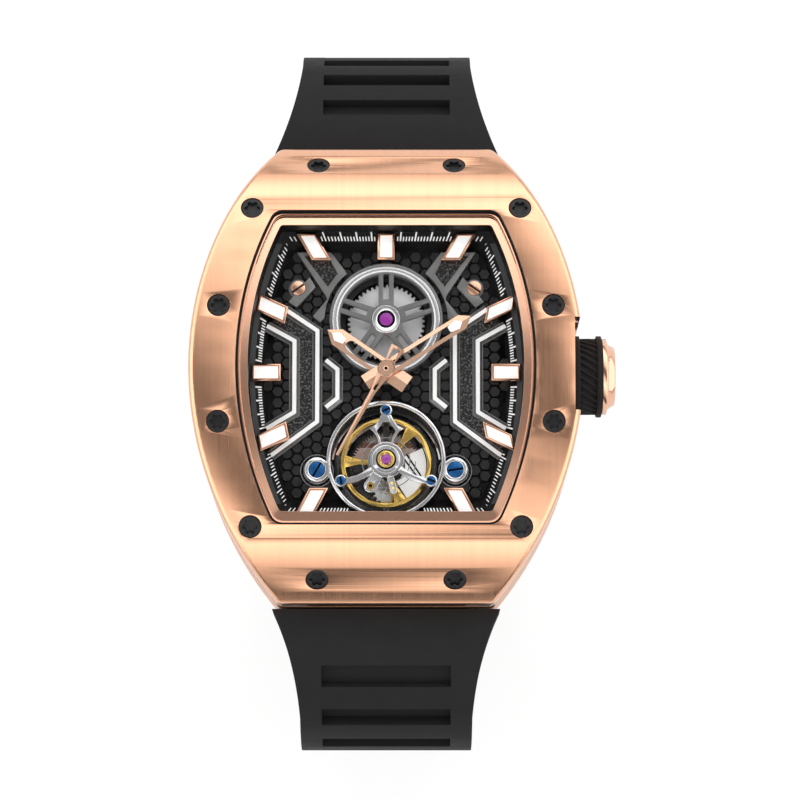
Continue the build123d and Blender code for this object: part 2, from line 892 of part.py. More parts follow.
def index_outline(x, y, lean, inset):
    """Parallelogram of an hour mark: its ends run along the nearest side of the dial."""
    along_x, along_y = sin(radians(lean)), cos(radians(lean))
    if abs(along_y) > abs(along_x):
        run = (index_length / 2 - inset) / along_y
        across = (index_width / 2 - inset * hypot(1, along_x)) / abs(along_y), 0
    else:
        run = (side_index_length / 2 - inset) / abs(along_x)
        lean_in = -y / ring_inner_side_radius
        across = -(index_width / 2 - inset) * lean_in, index_width / 2 - inset
    run_x, run_y = run * along_x, run * along_y
    corners = ((1, 1), (1, -1), (-1, -1), (-1, 1))
    return [(x + s * run_x + t * across[0], y + s * run_y + t * across[1]) for s, t in corners]


def make_hour_index_frames():
    """Eleven applied frames with a pocket for luminous paint."""
    with BuildPart() as frames:
        for x, y, lean in index_places():
            add(prism(index_outline(x, y, lean, 0), index_depth, index_height))
            add(prism(index_outline(x, y, lean, index_wall), index_depth, index_height - index_floor),
                mode=Mode.SUBTRACT)
        add(make_inner_flange(), mode=Mode.SUBTRACT)
    return frames.part


def make_hour_index_lume():
    """White fills of the hour marks."""
    with BuildPart() as fills:
        for x, y, lean in index_places():
            add(prism(index_outline(x, y, lean, index_wall), index_depth + index_lume_sink,
                      index_height - index_floor - index_lume_sink))
        add(make_inner_flange(), mode=Mode.SUBTRACT)
    return fills.part


def cut_index_beds():
    """Beds of the hour marks, cut from the sloped ring or dial being built."""
    for x, y, lean in index_places():
        add(prism(index_outline(x, y, lean, -press_gap), index_depth, index_height + press_gap),
            mode=Mode.SUBTRACT)


def make_dial_plate():
    """Black dial plate with openings for the barrel, the tourbillon and the hands."""
    with BuildPart() as dial:
        extrude(plate_outline(dial_depth), amount=-dial_thickness)
        with BuildSketch(plane_at(dial_depth, 0, barrel_y)):
            Circle(barrel_ring_bore)
        extrude(amount=-dial_thickness, mode=Mode.SUBTRACT)
        with BuildSketch(plane_at(dial_depth, 0, cage_y)):
            Circle(cage_ring_radius - cage_ring_width)
        extrude(amount=-dial_thickness, mode=Mode.SUBTRACT)
        with BuildSketch(plane_at(dial_depth)):
            Circle(hour_pipe_radius + slip_gap)
        extrude(amount=-dial_thickness, mode=Mode.SUBTRACT)
        cut_blue_screw_holes()
        cut_plate_screw_holes()
        cut_index_beds()
    return dial.part


def dial_points(shares):
    """Places on the dial from shares of the chapter ring's inner half sizes."""
    return [(x * ring_inner_width / 2, y * ring_inner_length / 2) for x, y in shares]


def mirrored_prism(points, depth, thickness):
    """Plate of a given outline with its mirror image across the hand axis."""
    return mirrored_x(prism(points, depth, thickness))


def make_dial_brackets():
    """Three pairs of chevron brackets beside the hand axis, large to small."""
    outer_line = dial_points(outer_bracket_shares)
    middle_line = dial_points(middle_bracket_shares)
    seat = small_bracket_seat_share * small_bracket_width
    inner_x = outer_line[1][0] + (bracket_width + seat) / 2 + press_gap
    inner_line = [(inner_x + x, y) for x, y in dial_points(inner_bracket_shares)]
    with BuildPart() as brackets:
        add(mirrored_prism(ribbon(outer_line, bracket_width), bracket_depth, bracket_height))
        add(mirrored_prism(ribbon(middle_line, middle_bracket_width), bracket_depth, bracket_height))
        add(mirrored_prism(ribbon(inner_line, small_bracket_width), bracket_depth, bracket_height))
        add(make_chapter_ring(), mode=Mode.SUBTRACT)
        cut_index_beds()
    return brackets.part


def make_upper_frames():
    """Pair of slanted frame plates beside the barrel, with a small plate under each gold screw."""
    with BuildPart() as frame:
        add(prism(dial_points(frame_outer_shares), bracket_depth, bracket_height))
        add(prism(dial_points(frame_inner_shares), bracket_depth, bracket_height), mode=Mode.SUBTRACT)
        opening_cut(0, barrel_y, barrel_ring_radius + frame_ring_gap, bracket_depth, bracket_height)
        add(prism(dial_points(screw_plate_shares), bracket_depth, bracket_height))
        cut_index_beds()
    with BuildPart() as frames:
        add(mirrored_x(frame.part))
        for x, y in plate_screw_places():
            opening_cut(x, y, plate_screw_radius + running_gap, bracket_depth, plate_screw_height)
            with BuildSketch(plane_at(bracket_depth + plate_screw_height, x, y)):
                Circle(plate_screw_radius + index_wall)
            extrude(amount=-(dial_depth - bracket_depth - plate_screw_height))
        cut_plate_screw_holes()
    return frames.part


def plate_screw_places():
    """Places of the small gold screws beside the upper frames."""
    return ((-plate_screw_x, plate_screw_y), (plate_screw_x, plate_screw_y))


def cut_plate_screw_holes():
    """Holes for the gold screws, cut from the plate being built."""
    for x, y in plate_screw_places():
        with BuildSketch(plane_at(bracket_depth, x, y)) as outline:
            Circle(plate_screw_shank + press_gap)
        extrude(outline.sketch, amount=-2 * bracket_height, mode=Mode.SUBTRACT)


def make_dial_screws():
    """Two slotted gold screws of the dial."""
    length = dial_depth + dial_thickness - bracket_depth - plate_screw_height
    with BuildPart() as screws:
        for turn, (x, y) in zip((plate_screw_turn, -plate_screw_turn), plate_screw_places()):
            add(slotted_screw(bracket_depth, plate_screw_radius, plate_screw_height, plate_screw_shank,
                              length, x, y, turn))
    return screws.part


# Movement

def opening_cut(x, y, radius, depth, thickness):
    """Round opening cut from the plate being built."""
    with BuildSketch(plane_at(depth, x, y)) as outline:
        Circle(radius)
    extrude(outline.sketch, amount=-thickness, mode=Mode.SUBTRACT)


def stem_bore(radius, start_x, end_x):
    """Round bore along the stem's axis, cut from the part being built."""
    with BuildSketch(Plane(origin=(start_x, 0, height(crown_depth)), z_dir=(1, 0, 0))) as outline:
        Circle(radius)
    extrude(outline.sketch, amount=end_x - start_x, mode=Mode.SUBTRACT)


def make_main_plate():
    """Main plate with its openings, recesses, bearings and stem slot."""
    bottom = plate_depth + plate_thickness
    with BuildPart() as plate:
        extrude(plate_outline(plate_depth), amount=-plate_thickness)
        opening_cut(0, barrel_y, barrel_tip_radius + air_gap, plate_depth, plate_thickness)
        opening_cut(0, cage_y, cage_ring_radius - cage_ring_width, plate_depth, plate_thickness)
        opening_cut(0, 0, centre_recess_radius, plate_depth, centre_recess_depth)
        opening_cut(0, 0, cannon_radius + running_gap, plate_depth, plate_thickness)
        opening_cut(third_x, third_y, third_staff_radius + running_gap, bottom - centre_recess_depth,
                    centre_recess_depth)
        stem_bore(stem_radius + running_gap, stem_start_x - air_gap, case_width)
        lever_room = crown_pull + stem_groove_width + 2 * air_gap
        with BuildSketch(plane_at(plate_depth, stem_groove_x + crown_pull / 2, 0)):
            Rectangle(lever_room, lever_plate_width + 2 * air_gap)
        extrude(amount=-plate_thickness, mode=Mode.SUBTRACT)
        for x, y in pillar_places:
            opening_cut(x, y, bridge_screw_shank + press_gap, bottom - centre_recess_depth,
                        centre_recess_depth)
        for side in (1, -1):
            opening_cut(side * ear_x, cage_y - ear_drop, blue_screw_shank + press_gap, plate_depth,
                        centre_recess_depth)
    return plate.part


def make_train_bridge():
    """Rear bridge on four pillars, with the lower bar of the tourbillon."""
    bottom = train_bridge_depth + train_bridge_thickness
    pillar_height = train_bridge_depth - plate_depth - plate_thickness
    bar_top = fixed_wheel_depth + fixed_wheel_thickness
    recess = ratchet_thickness + wheel_recess_gap
    with BuildPart() as bridge:
        extrude(plate_outline(train_bridge_depth), amount=-train_bridge_thickness)
        opening_cut(0, cage_y, cage_ring_radius - cage_ring_width, train_bridge_depth,
                    train_bridge_thickness)
        with BuildSketch(plane_at(bar_top, 0, cage_y)):
            Rectangle(2 * cage_ring_radius, lower_bar_width)
        extrude(amount=-(bottom - bar_top))
        opening_cut(0, cage_y, cage_pivot_radius + running_gap, bar_top, bottom - bar_top)
        for x, y in pillar_places:
            with BuildSketch(plane_at(train_bridge_depth, x, y)):
                Circle(pillar_radius)
            extrude(amount=pillar_height)
            opening_cut(x, y, bridge_screw_shank + press_gap, train_bridge_depth - pillar_height,
                        pillar_height + train_bridge_thickness)
            opening_cut(x, y, bridge_screw_radius + press_gap, bottom - bridge_screw_head, bridge_screw_head)
        opening_cut(0, 0, seconds_bore, train_bridge_depth, train_bridge_thickness)
        opening_cut(third_x, third_y, third_staff_radius + running_gap, train_bridge_depth,
                    train_bridge_thickness / 2)
        opening_cut(0, barrel_y, barrel_arbor_radius + running_gap, train_bridge_depth,
                    train_bridge_thickness)
        opening_cut(0, barrel_y, ratchet_tip_radius + wheel_recess_gap, bottom - recess, recess)
        opening_cut(crown_wheel_x, crown_wheel_y, crown_wheel_radius + wheel_recess_gap, bottom - recess,
                    recess)
        opening_cut(crown_wheel_x, crown_wheel_y, crown_wheel_screw + running_gap, train_bridge_depth,
                    train_bridge_thickness)
    return bridge.part


def make_bridge_screws():
    """Four screws that hold the rear bridge to the main plate."""
    bottom = train_bridge_depth + train_bridge_thickness
    length = bottom - bridge_screw_head - (plate_depth + plate_thickness - centre_recess_depth) - running_gap
    with BuildPart() as screws:
        for x, y in pillar_places:
            with BuildSketch(plane_at(bottom, x, y)):
                Circle(bridge_screw_radius)
            extrude(amount=bridge_screw_head)
            with BuildSketch(plane_at(bottom - bridge_screw_head, x, y)):
                Circle(bridge_screw_shank)
            extrude(amount=length)
            with BuildSketch(plane_at(bottom, x, y)):
                Rectangle(2 * bridge_screw_radius + overrun, slot_width)
            extrude(amount=slot_depth, mode=Mode.SUBTRACT)
    return screws.part


# Barrel

def make_barrel_bridge():
    """Polished ring over the barrel, with five double spokes and a jewelled hub."""
    spoke_middle = (spoke_slot_width + spoke_bar_width) / 2
    reach = barrel_ring_bore + spoke_bar_width / 2
    with BuildPart() as ring:
        with BuildSketch(plane_at(barrel_ring_depth, 0, barrel_y)):
            Circle(barrel_ring_radius)
            Circle(barrel_ring_bore, mode=Mode.SUBTRACT)
        extrude(amount=-(dial_depth - barrel_ring_depth))
        with BuildSketch(plane_at(barrel_ring_depth)):
            Circle(centre_boss_radius)
        extrude(amount=-barrel_ring_height)
        with BuildSketch(plane_at(barrel_ring_depth, 0, barrel_y)):
            Circle(barrel_hub_radius)
            for spoke in range(spoke_count):
                turn = 360 * spoke / spoke_count
                with Locations(Rotation(0, 0, turn)):
                    with Locations((spoke_middle, reach / 2), (-spoke_middle, reach / 2)):
                        Rectangle(spoke_bar_width, reach)
                    with Locations((0, spoke_slot_start / 2)):
                        Rectangle(spoke_slot_width, spoke_slot_start)
        extrude(amount=-barrel_ring_height)
        opening_cut(0, barrel_y, jewel_radius + press_gap, barrel_ring_depth, jewel_height)
        opening_cut(0, barrel_y, barrel_pivot_radius + running_gap, barrel_ring_depth, barrel_ring_height)
        opening_cut(0, 0, hour_pipe_radius + slip_gap, barrel_ring_depth, dial_depth - barrel_ring_depth)
    return ring.part


def make_barrel_jewel():
    """Ruby bearing in the hub of the barrel bridge."""
    with BuildPart() as jewel:
        with BuildSketch(plane_at(barrel_ring_depth, 0, barrel_y)):
            Circle(jewel_radius)
        extrude(amount=-jewel_height)
    return jewel.part


def make_barrel():
    """Toothed mainspring barrel with its closed drum."""
    drum_top = barrel_depth + barrel_tooth_band
    with BuildPart() as barrel:
        add(toothed_wheel(barrel_tip_radius, barrel_teeth, tooth_height, barrel_arbor_radius + running_gap,
                          barrel_depth, barrel_tooth_band, 0, barrel_y))
        with BuildSketch(plane_at(drum_top, 0, barrel_y)):
            Circle(barrel_drum_radius)
        extrude(amount=-barrel_drum_height)
        with BuildSketch(plane_at(drum_top, 0, barrel_y)):
            Circle(barrel_drum_radius - barrel_wall)
        extrude(amount=-barrel_drum_height + barrel_wall, mode=Mode.SUBTRACT)
        opening_cut(0, barrel_y, barrel_arbor_radius + running_gap, drum_top, barrel_drum_height)
    return barrel.part


def make_mainspring():
    """Coiled mainspring, pressed against the wall of the drum."""
    top = barrel_depth + barrel_tooth_band + running_gap
    outer = barrel_drum_radius - barrel_wall - running_gap
    with BuildPart() as spring:
        with BuildSketch(plane_at(top, 0, barrel_y)):
            Circle(outer)
            Circle(outer - barrel_spring_wall, mode=Mode.SUBTRACT)
        extrude(amount=-(barrel_drum_height - barrel_wall - 2 * running_gap))
    return spring.part


def make_barrel_arbor():
    """Arbor of the barrel, from its jewel down to the ratchet wheel on its foot."""
    pivot_top = barrel_ring_depth + jewel_height + running_gap
    shoulder = barrel_ring_depth + barrel_ring_height + running_gap
    bottom = train_bridge_depth + train_bridge_thickness
    with BuildPart() as arbor:
        with BuildSketch(plane_at(pivot_top, 0, barrel_y)):
            Circle(barrel_pivot_radius)
        extrude(amount=-(shoulder - pivot_top))
        with BuildSketch(plane_at(shoulder, 0, barrel_y)):
            Circle(barrel_arbor_radius)
        extrude(amount=-(bottom - shoulder))
        add(toothed_wheel(ratchet_tip_radius, ratchet_teeth, tooth_height, barrel_pivot_radius,
                          bottom - ratchet_thickness, ratchet_thickness, 0, barrel_y))
    return arbor.part


def make_crown_wheel():
    """Crown wheel that turns the ratchet wheel, with its own post."""
    bottom = train_bridge_depth + train_bridge_thickness
    with BuildPart() as wheel:
        add(toothed_wheel(crown_wheel_radius, crown_wheel_teeth, tooth_height, crown_wheel_screw / 2,
                          bottom - ratchet_thickness, ratchet_thickness, crown_wheel_x, crown_wheel_y))
        with BuildSketch(plane_at(train_bridge_depth + running_gap, crown_wheel_x, crown_wheel_y)):
            Circle(crown_wheel_screw)
        extrude(amount=-train_bridge_thickness + running_gap)
    return wheel.part


# Train wheels and the pieces on the hand axis

def hand_depth(place):
    """Depth of a hand's top face, counted from the seconds hand down."""
    return seconds_depth + place * hand_step


def tube(outer, bore, top, bottom):
    """Upright tube on the hand axis between two depths."""
    with BuildPart() as pipe:
        with BuildSketch(plane_at(top)):
            Circle(outer)
            if bore:
                Circle(bore, mode=Mode.SUBTRACT)
        extrude(amount=-(bottom - top))
    return pipe.part


def make_hour_wheel():
    """Hour wheel with the pipe that carries the hour hand."""
    with BuildPart() as wheel:
        add(tube(hour_pipe_radius, cannon_radius + running_gap, hand_depth(2) + press_gap, hour_wheel_depth))
        add(toothed_wheel(hour_wheel_radius, hour_wheel_teeth, tooth_height / 2, cannon_radius + running_gap,
                          hour_wheel_depth, hour_wheel_thickness))
    return wheel.part


def make_centre_wheel():
    """Centre wheel on the pipe that carries the minute hand and meets the barrel's teeth."""
    foot = centre_wheel_depth + wheel_thickness
    with BuildPart() as pinion:
        add(tube(cannon_radius, seconds_bore, hand_depth(1) + press_gap, foot))
        add(toothed_wheel(centre_pinion_radius, centre_pinion_teeth, tooth_height, seconds_bore,
                          centre_pinion_depth, wheel_thickness))
        add(crossed_wheel(centre_wheel_radius, centre_wheel_teeth, centre_wheel_depth, seconds_bore))
    return pinion.part


def make_seconds_arbor():
    """Arbor of the seconds hand with the fourth wheel on its foot."""
    foot = train_bridge_depth + train_bridge_thickness - running_gap
    with BuildPart() as arbor:
        add(tube(seconds_arbor_radius, 0, hand_depth(0) + hand_thickness / 2, foot))
        add(crossed_wheel(centre_wheel_radius, centre_wheel_teeth, fourth_wheel_depth,
                          seconds_arbor_radius / 2))
    return arbor.part


def make_third_wheel():
    """Third wheel and its staff between the main plate and the rear bridge."""
    top = plate_depth + plate_thickness - centre_recess_depth + running_gap
    foot = train_bridge_depth + train_bridge_thickness / 2 - running_gap
    with BuildPart() as wheel:
        add(crossed_wheel(third_wheel_radius, third_teeth, third_depth, third_staff_radius / 2,
                          third_x, third_y))
        with BuildSketch(plane_at(top, third_x, third_y)):
            Circle(third_staff_radius)
        extrude(amount=-(foot - top))
    return wheel.part


# Tourbillon

def polar_place(radius, angle):
    """Place at a radius and an angle from the tourbillon's axis."""
    return radius * cos(radians(angle)), cage_y + radius * sin(radians(angle))


def cut_blue_screw_holes():
    """Holes for the two large blued screws, cut from the part being built."""
    for side in (1, -1):
        with BuildSketch(plane_at(cage_ring_depth, side * ear_x, cage_y - ear_drop)) as outline:
            Circle(blue_screw_shank + press_gap)
        extrude(outline.sketch, amount=-cage_ring_height - overrun, mode=Mode.SUBTRACT)


def make_tourbillon_ring():
    """Outer ring of the tourbillon with its two screwed ears."""
    ring_height = dial_depth - cage_ring_depth
    bridge_x = (ear_x + cage_ring_radius) / 2
    with BuildPart() as ring:
        with BuildSketch(plane_at(cage_ring_depth, 0, cage_y)):
            with Locations((ear_x, -ear_drop), (-ear_x, -ear_drop)):
                Circle(ear_radius)
            with Locations((bridge_x, -ear_drop), (-bridge_x, -ear_drop)):
                Rectangle(ear_x - cage_ring_radius + ear_radius, ear_radius)
            Circle(cage_ring_radius)
            Circle(cage_ring_radius - cage_ring_width, mode=Mode.SUBTRACT)
        extrude(amount=-ring_height)
        for side in (1, -1):
            opening_cut(side * ear_x, cage_y - ear_drop, blue_screw_radius + running_gap, cage_ring_depth,
                        blue_screw_height)
        cut_blue_screw_holes()
    return ring.part


def make_ring_screws():
    """Two large blued screws of the tourbillon ring."""
    length = plate_depth + centre_recess_depth - cage_ring_depth - blue_screw_height - press_gap
    with BuildPart() as screws:
        for side, turn in ((1, right_blue_screw_turn), (-1, left_blue_screw_turn)):
            add(slotted_screw(cage_ring_depth, blue_screw_radius, blue_screw_height, blue_screw_shank,
                              length, side * ear_x, cage_y - ear_drop, turn))
    return screws.part


def cage_points(shares):
    """Places beside the cage's axis from shares of its arms' reach."""
    return [(x * cage_arm_radius, y * cage_arm_radius) for x, y in shares]


def mirrored_outline(points):
    """Closed outline from its right half, listed from the top down."""
    return points + [(-x, y) for x, y in reversed(points)]


def make_cage_bridge():
    """Upper bridge of the cage: a hub, a wishbone arm and two curved arms with screwed ends."""
    start, middle, end = cage_points(cage_curve_shares)
    with BuildPart() as bridge:
        with BuildSketch(plane_at(cage_bridge_depth, 0, cage_y)):
            with BuildLine():
                Polyline(*mirrored_outline(cage_points(wishbone_outer_shares)), close=True)
            make_face()
            with BuildLine():
                Polyline(*mirrored_outline(cage_points(wishbone_inner_shares)), close=True)
            make_face(mode=Mode.SUBTRACT)
            for side in (1, -1):
                with BuildLine() as arm:
                    ThreePointArc(*[(side * x, y) for x, y in (start, middle, end)])
                trace(arm.line, line_width=cage_arm_width)
            Circle(cage_hub_radius)
            for angle in cage_arm_angles:
                x, y = polar_place(cage_arm_radius, angle)
                with Locations((x, y - cage_y)):
                    Circle(cage_arm_end)
        extrude(amount=-cage_bridge_height)
        opening_cut(0, cage_y, cage_jewel_radius + press_gap, cage_bridge_depth, cage_bridge_height)
        for angle in cage_arm_angles:
            opening_cut(*polar_place(cage_arm_radius, angle), cage_screw_shank + press_gap,
                        cage_bridge_depth, cage_bridge_height)
    return bridge.part


def make_cage_base():
    """Lower plate of the cage with its three pillars and lower pivot."""
    pillar_top = cage_bridge_depth + cage_bridge_height
    rim = cage_arm_radius + cage_pillar_radius + cage_base_lip
    bottom = cage_base_depth + cage_base_thickness
    with BuildPart() as base:
        with BuildSketch(plane_at(cage_base_depth, 0, cage_y)):
            Circle(rim)
            Circle(rim - cage_base_rim, mode=Mode.SUBTRACT)
            Circle(cage_hub_radius / 2)
            for angle in (*cage_arm_angles, cage_spare_arm):
                with Locations(Rotation(0, 0, angle)):
                    with Locations((rim / 2 - cage_base_rim / 4, 0)):
                        Rectangle(rim - cage_base_rim / 2, cage_arm_width)
        extrude(amount=-cage_base_thickness)
        opening_cut(0, cage_y, staff_radius + running_gap, cage_base_depth, cage_base_thickness / 2)
        opening_cut(0, cage_y + escape_y, staff_radius + running_gap, cage_base_depth, cage_base_thickness)
        opening_cut(0, cage_y + pallet_y, pallet_staff_radius + running_gap, cage_base_depth,
                    cage_base_thickness / 2)
        with BuildSketch(plane_at(bottom, 0, cage_y)):
            Circle(cage_pivot_radius)
        extrude(amount=-(train_bridge_depth + train_bridge_thickness - bottom - running_gap))
        for angle in cage_arm_angles:
            x, y = polar_place(cage_arm_radius, angle)
            with BuildSketch(plane_at(pillar_top, x, y)):
                Circle(cage_pillar_radius)
            extrude(amount=-(cage_base_depth - pillar_top))
            opening_cut(x, y, cage_screw_shank + press_gap, pillar_top, cage_screw_length)
    return base.part


def make_cage_screws():
    """Three small blued screws on the ends of the cage's arms."""
    reach = cage_bridge_height + cage_screw_length - running_gap
    with BuildPart() as screws:
        for angle, turn in zip(cage_arm_angles, cage_screw_turns):
            x, y = polar_place(cage_arm_radius, angle)
            add(slotted_screw(cage_bridge_depth - cage_screw_height, cage_screw_radius, cage_screw_height,
                              cage_screw_shank, reach, x, y, turn))
    return screws.part


def make_cage_jewel():
    """Ruby bearing of the balance, in the hub of the cage bridge."""
    with BuildPart() as jewel:
        with BuildSketch(plane_at(cage_bridge_depth, 0, cage_y)):
            Circle(cage_jewel_radius)
        extrude(amount=-cage_bridge_height)
        opening_cut(0, cage_y, staff_radius + running_gap, cage_bridge_depth + cage_bridge_height / 2,
                    cage_bridge_height / 2)
    return jewel.part


def make_shock_spring():
    """Gold three-lobed spring that holds the cage jewel down."""
    lobe = shock_radius / 2
    with BuildPart() as spring:
        with BuildSketch(plane_at(cage_bridge_depth - shock_height, 0, cage_y)):
            Circle(shock_radius)
            Circle(shock_radius - lobe / 2, mode=Mode.SUBTRACT)
            with PolarLocations(lobe, 3, start_angle=30):
                Circle(lobe)
                Circle(lobe / 2, mode=Mode.SUBTRACT)
        extrude(amount=-shock_height)
    return spring.part


def make_regulator():
    """Regulator under the cage bridge: a tongue with an eyelet and a narrower stud arm."""
    with BuildPart() as regulator:
        with BuildSketch(plane_at(cage_bridge_depth + cage_bridge_height, 0, cage_y)):
            Circle(cage_hub_radius - regulator_width / 2)
            with BuildLine():
                Polyline(*turned([(0, regulator_root), (regulator_length, regulator_end),
                                  (regulator_length, -regulator_end), (0, -regulator_root)],
                                 regulator_angle), close=True)
            make_face()
            with Locations(Rotation(0, 0, regulator_angle)):
                with Locations((regulator_length, 0)):
                    Circle(regulator_end)
                    Circle(regulator_eyelet, mode=Mode.SUBTRACT)
            with Locations(Rotation(0, 0, stud_angle)):
                with Locations((stud_length / 2, 0)):
                    Rectangle(stud_length, stud_width)
                with Locations((stud_length, 0)):
                    Circle(stud_width / 2)
            Circle(staff_radius + air_gap, mode=Mode.SUBTRACT)
        extrude(amount=-regulator_height)
    return regulator.part


def balance_staff():
    """Balance staff with the hairspring's collet and the impulse roller."""
    top = cage_bridge_depth + cage_bridge_height / 2 + running_gap
    foot = cage_base_depth + cage_base_thickness / 2 - running_gap
    with BuildPart() as staff:
        with BuildSketch(plane_at(top, 0, cage_y)):
            Circle(staff_radius)
        extrude(amount=-(foot - top))
        with BuildSketch(plane_at(hairspring_depth - roller_height / 2, 0, cage_y)):
            Circle(roller_radius)
        extrude(amount=-roller_height)
        with BuildSketch(plane_at(pallet_depth - running_gap, 0, cage_y)):
            Circle(staff_radius + pallet_width / 2)
        extrude(amount=balance_rim_height / 4)
    return staff.part


def make_balance_wheel():
    """Balance wheel with a deep rim and three flared spokes, riveted on its staff."""
    inner = balance_radius - balance_rim_width
    reach = inner + balance_rim_width / 2
    half, foot = balance_spoke_width / 2, balance_spoke_flare / 2
    spoke = [(0, half), (inner - 2 * foot, half), (reach, foot), (reach, -foot), (inner - 2 * foot, -half),
             (0, -half)]
    with BuildPart() as balance:
        with BuildSketch(plane_at(balance_depth, 0, cage_y)):
            Circle(balance_radius)
            Circle(inner, mode=Mode.SUBTRACT)
        extrude(amount=-balance_rim_height)
        with BuildSketch(plane_at(balance_depth + balance_rim_height / 4, 0, cage_y)):
            Circle(balance_hub_radius)
            for angle in balance_spoke_angles:
                with BuildLine():
                    Polyline(*turned(spoke, angle), close=True)
                make_face()
        extrude(amount=-balance_rim_height / 2)
        add(balance_staff())
    return balance.part


def hairspring_points():
    """Ends and middles of the half turns of the spiral hairspring."""
    points = []
    centre, radius = 0, hairspring_start
    for half_turn in range(hairspring_half_turns):
        sign = 1 if half_turn % 2 == 0 else -1
        points.append(((centre + sign * radius, 0), (centre, sign * radius), (centre - sign * radius, 0)))
        centre += sign * hairspring_pitch / 2
        radius += hairspring_pitch / 2
    return points


def print_hairspring_gap(path):
    """Print the least gap of the spiral to itself, measured on points along it."""
    samples = 24 * hairspring_half_turns
    places = [path @ (place / samples) for place in range(samples + 1)]
    turn = samples // hairspring_half_turns
    gaps = [(first - second).length
            for place, first in enumerate(places) for second in places[place + turn:]]
    print(f"hairspring: least gap to itself {min(gaps) - 2 * hairspring_wire:.2f} mm")


def make_hairspring():
    """Flat spiral hairspring, one unbroken wire of half-turn arcs."""
    level = plane_at(hairspring_depth, 0, cage_y)
    with BuildPart() as spring:
        with BuildLine(level) as path:
            for start, middle, end in hairspring_points():
                ThreePointArc(start, middle, end)
        with BuildSketch(Plane(origin=path.line @ 0, z_dir=path.line % 0)):
            Circle(hairspring_wire)
        sweep(path=path.line)
    print_hairspring_gap(path.line)
    return spring.part


def make_escape_wheel():
    """Escape wheel with its staff and pinion, carried by the cage."""
    y = cage_y + escape_y
    staff_top = escape_depth - escape_thickness
    pinion_foot = fixed_wheel_depth + fixed_wheel_thickness - running_gap
    with BuildPart() as wheel:
        add(toothed_wheel(escape_radius, escape_teeth, tooth_height, staff_radius / 2, escape_depth,
                          escape_thickness, 0, y))
        with BuildSketch(plane_at(staff_top, 0, y)):
            Circle(staff_radius)
        extrude(amount=-(pinion_foot - staff_top))
        add(toothed_wheel(escape_pinion_radius, escape_pinion_teeth, tooth_height / 2, staff_radius / 2,
                          fixed_wheel_depth, pinion_foot - fixed_wheel_depth, 0, y))
    return wheel.part


def make_pallet_fork():
    """Pallet fork between the balance and the escape wheel."""
    foot = cage_base_depth + cage_base_thickness / 2 - running_gap
    reach = pallet_arm + pallet_width
    with BuildPart() as fork:
        with BuildSketch(plane_at(pallet_depth, 0, cage_y + pallet_y)):
            with Locations((0, pallet_arm / 2)):
                Rectangle(pallet_width, pallet_arm)
            with Locations((0, -pallet_width / 2)):
                Rectangle(2 * reach, pallet_width)
            Circle(pallet_width)
        extrude(amount=-pallet_thickness)
        with BuildSketch(plane_at(pallet_depth, 0, cage_y + pallet_y)):
            Circle(pallet_staff_radius)
        extrude(amount=-(foot - pallet_depth))
    return fork.part


def make_fixed_wheel():
    """Fixed fourth wheel: a ring with inward teeth on the lower bar."""
    with BuildPart() as wheel:
        with BuildSketch(plane_at(fixed_wheel_depth, 0, cage_y)):
            Circle(fixed_wheel_radius)
            with BuildLine():
                outline = toothed_outline(fixed_wheel_tip + tooth_height, fixed_wheel_teeth, tooth_height)
                Polyline(*outline, close=True)
            make_face(mode=Mode.SUBTRACT)
        extrude(amount=-fixed_wheel_thickness)
    return wheel.part


# Hands

def hand_plane(depth, clockwise):
    """Workplane of a hand, its Y axis along the hand at its clock angle."""
    turn = radians(-clockwise)
    return Plane(origin=(0, 0, height(depth)), x_dir=(cos(turn), sin(turn), 0), z_dir=(0, 0, 1))


def skeleton_hand(depth, clockwise, length, tail, width, bore):
    """Skeleton hand: parallel rails, a slot, an arrow head and a squared tail."""
    half = width / 2
    shoulder = length - width * hand_tip_share
    slot_half = half - hand_rail
    slot_end = length - width * hand_head_share - slot_half
    with BuildPart() as hand:
        with BuildSketch(hand_plane(depth, clockwise)):
            with BuildLine():
                Polyline((-half, -tail), (-half, shoulder), (0, length), (half, shoulder), (half, -tail),
                         close=True)
            make_face()
            with BuildLine():
                Line((slot_half, slot_end), (slot_half, hand_hub_radius))
                Line((slot_half, hand_hub_radius), (-slot_half, hand_hub_radius))
                Line((-slot_half, hand_hub_radius), (-slot_half, slot_end))
                ThreePointArc((-slot_half, slot_end), (0, slot_end + slot_half), (slot_half, slot_end))
            make_face(mode=Mode.SUBTRACT)
            Circle(hand_hub_radius)
            Circle(bore, mode=Mode.SUBTRACT)
        extrude(amount=-hand_thickness)
    return hand.part


def make_minute_hand():
    """Minute hand, pressed on the cannon pinion."""
    return skeleton_hand(hand_depth(1), minute_angle, minute_length, minute_tail, minute_width,
                         cannon_radius + press_gap)


def make_hour_hand():
    """Hour hand, pressed on the pipe of the hour wheel."""
    return skeleton_hand(hand_depth(2), hour_angle, hour_length, hour_tail, hour_width,
                         hour_pipe_radius + press_gap)


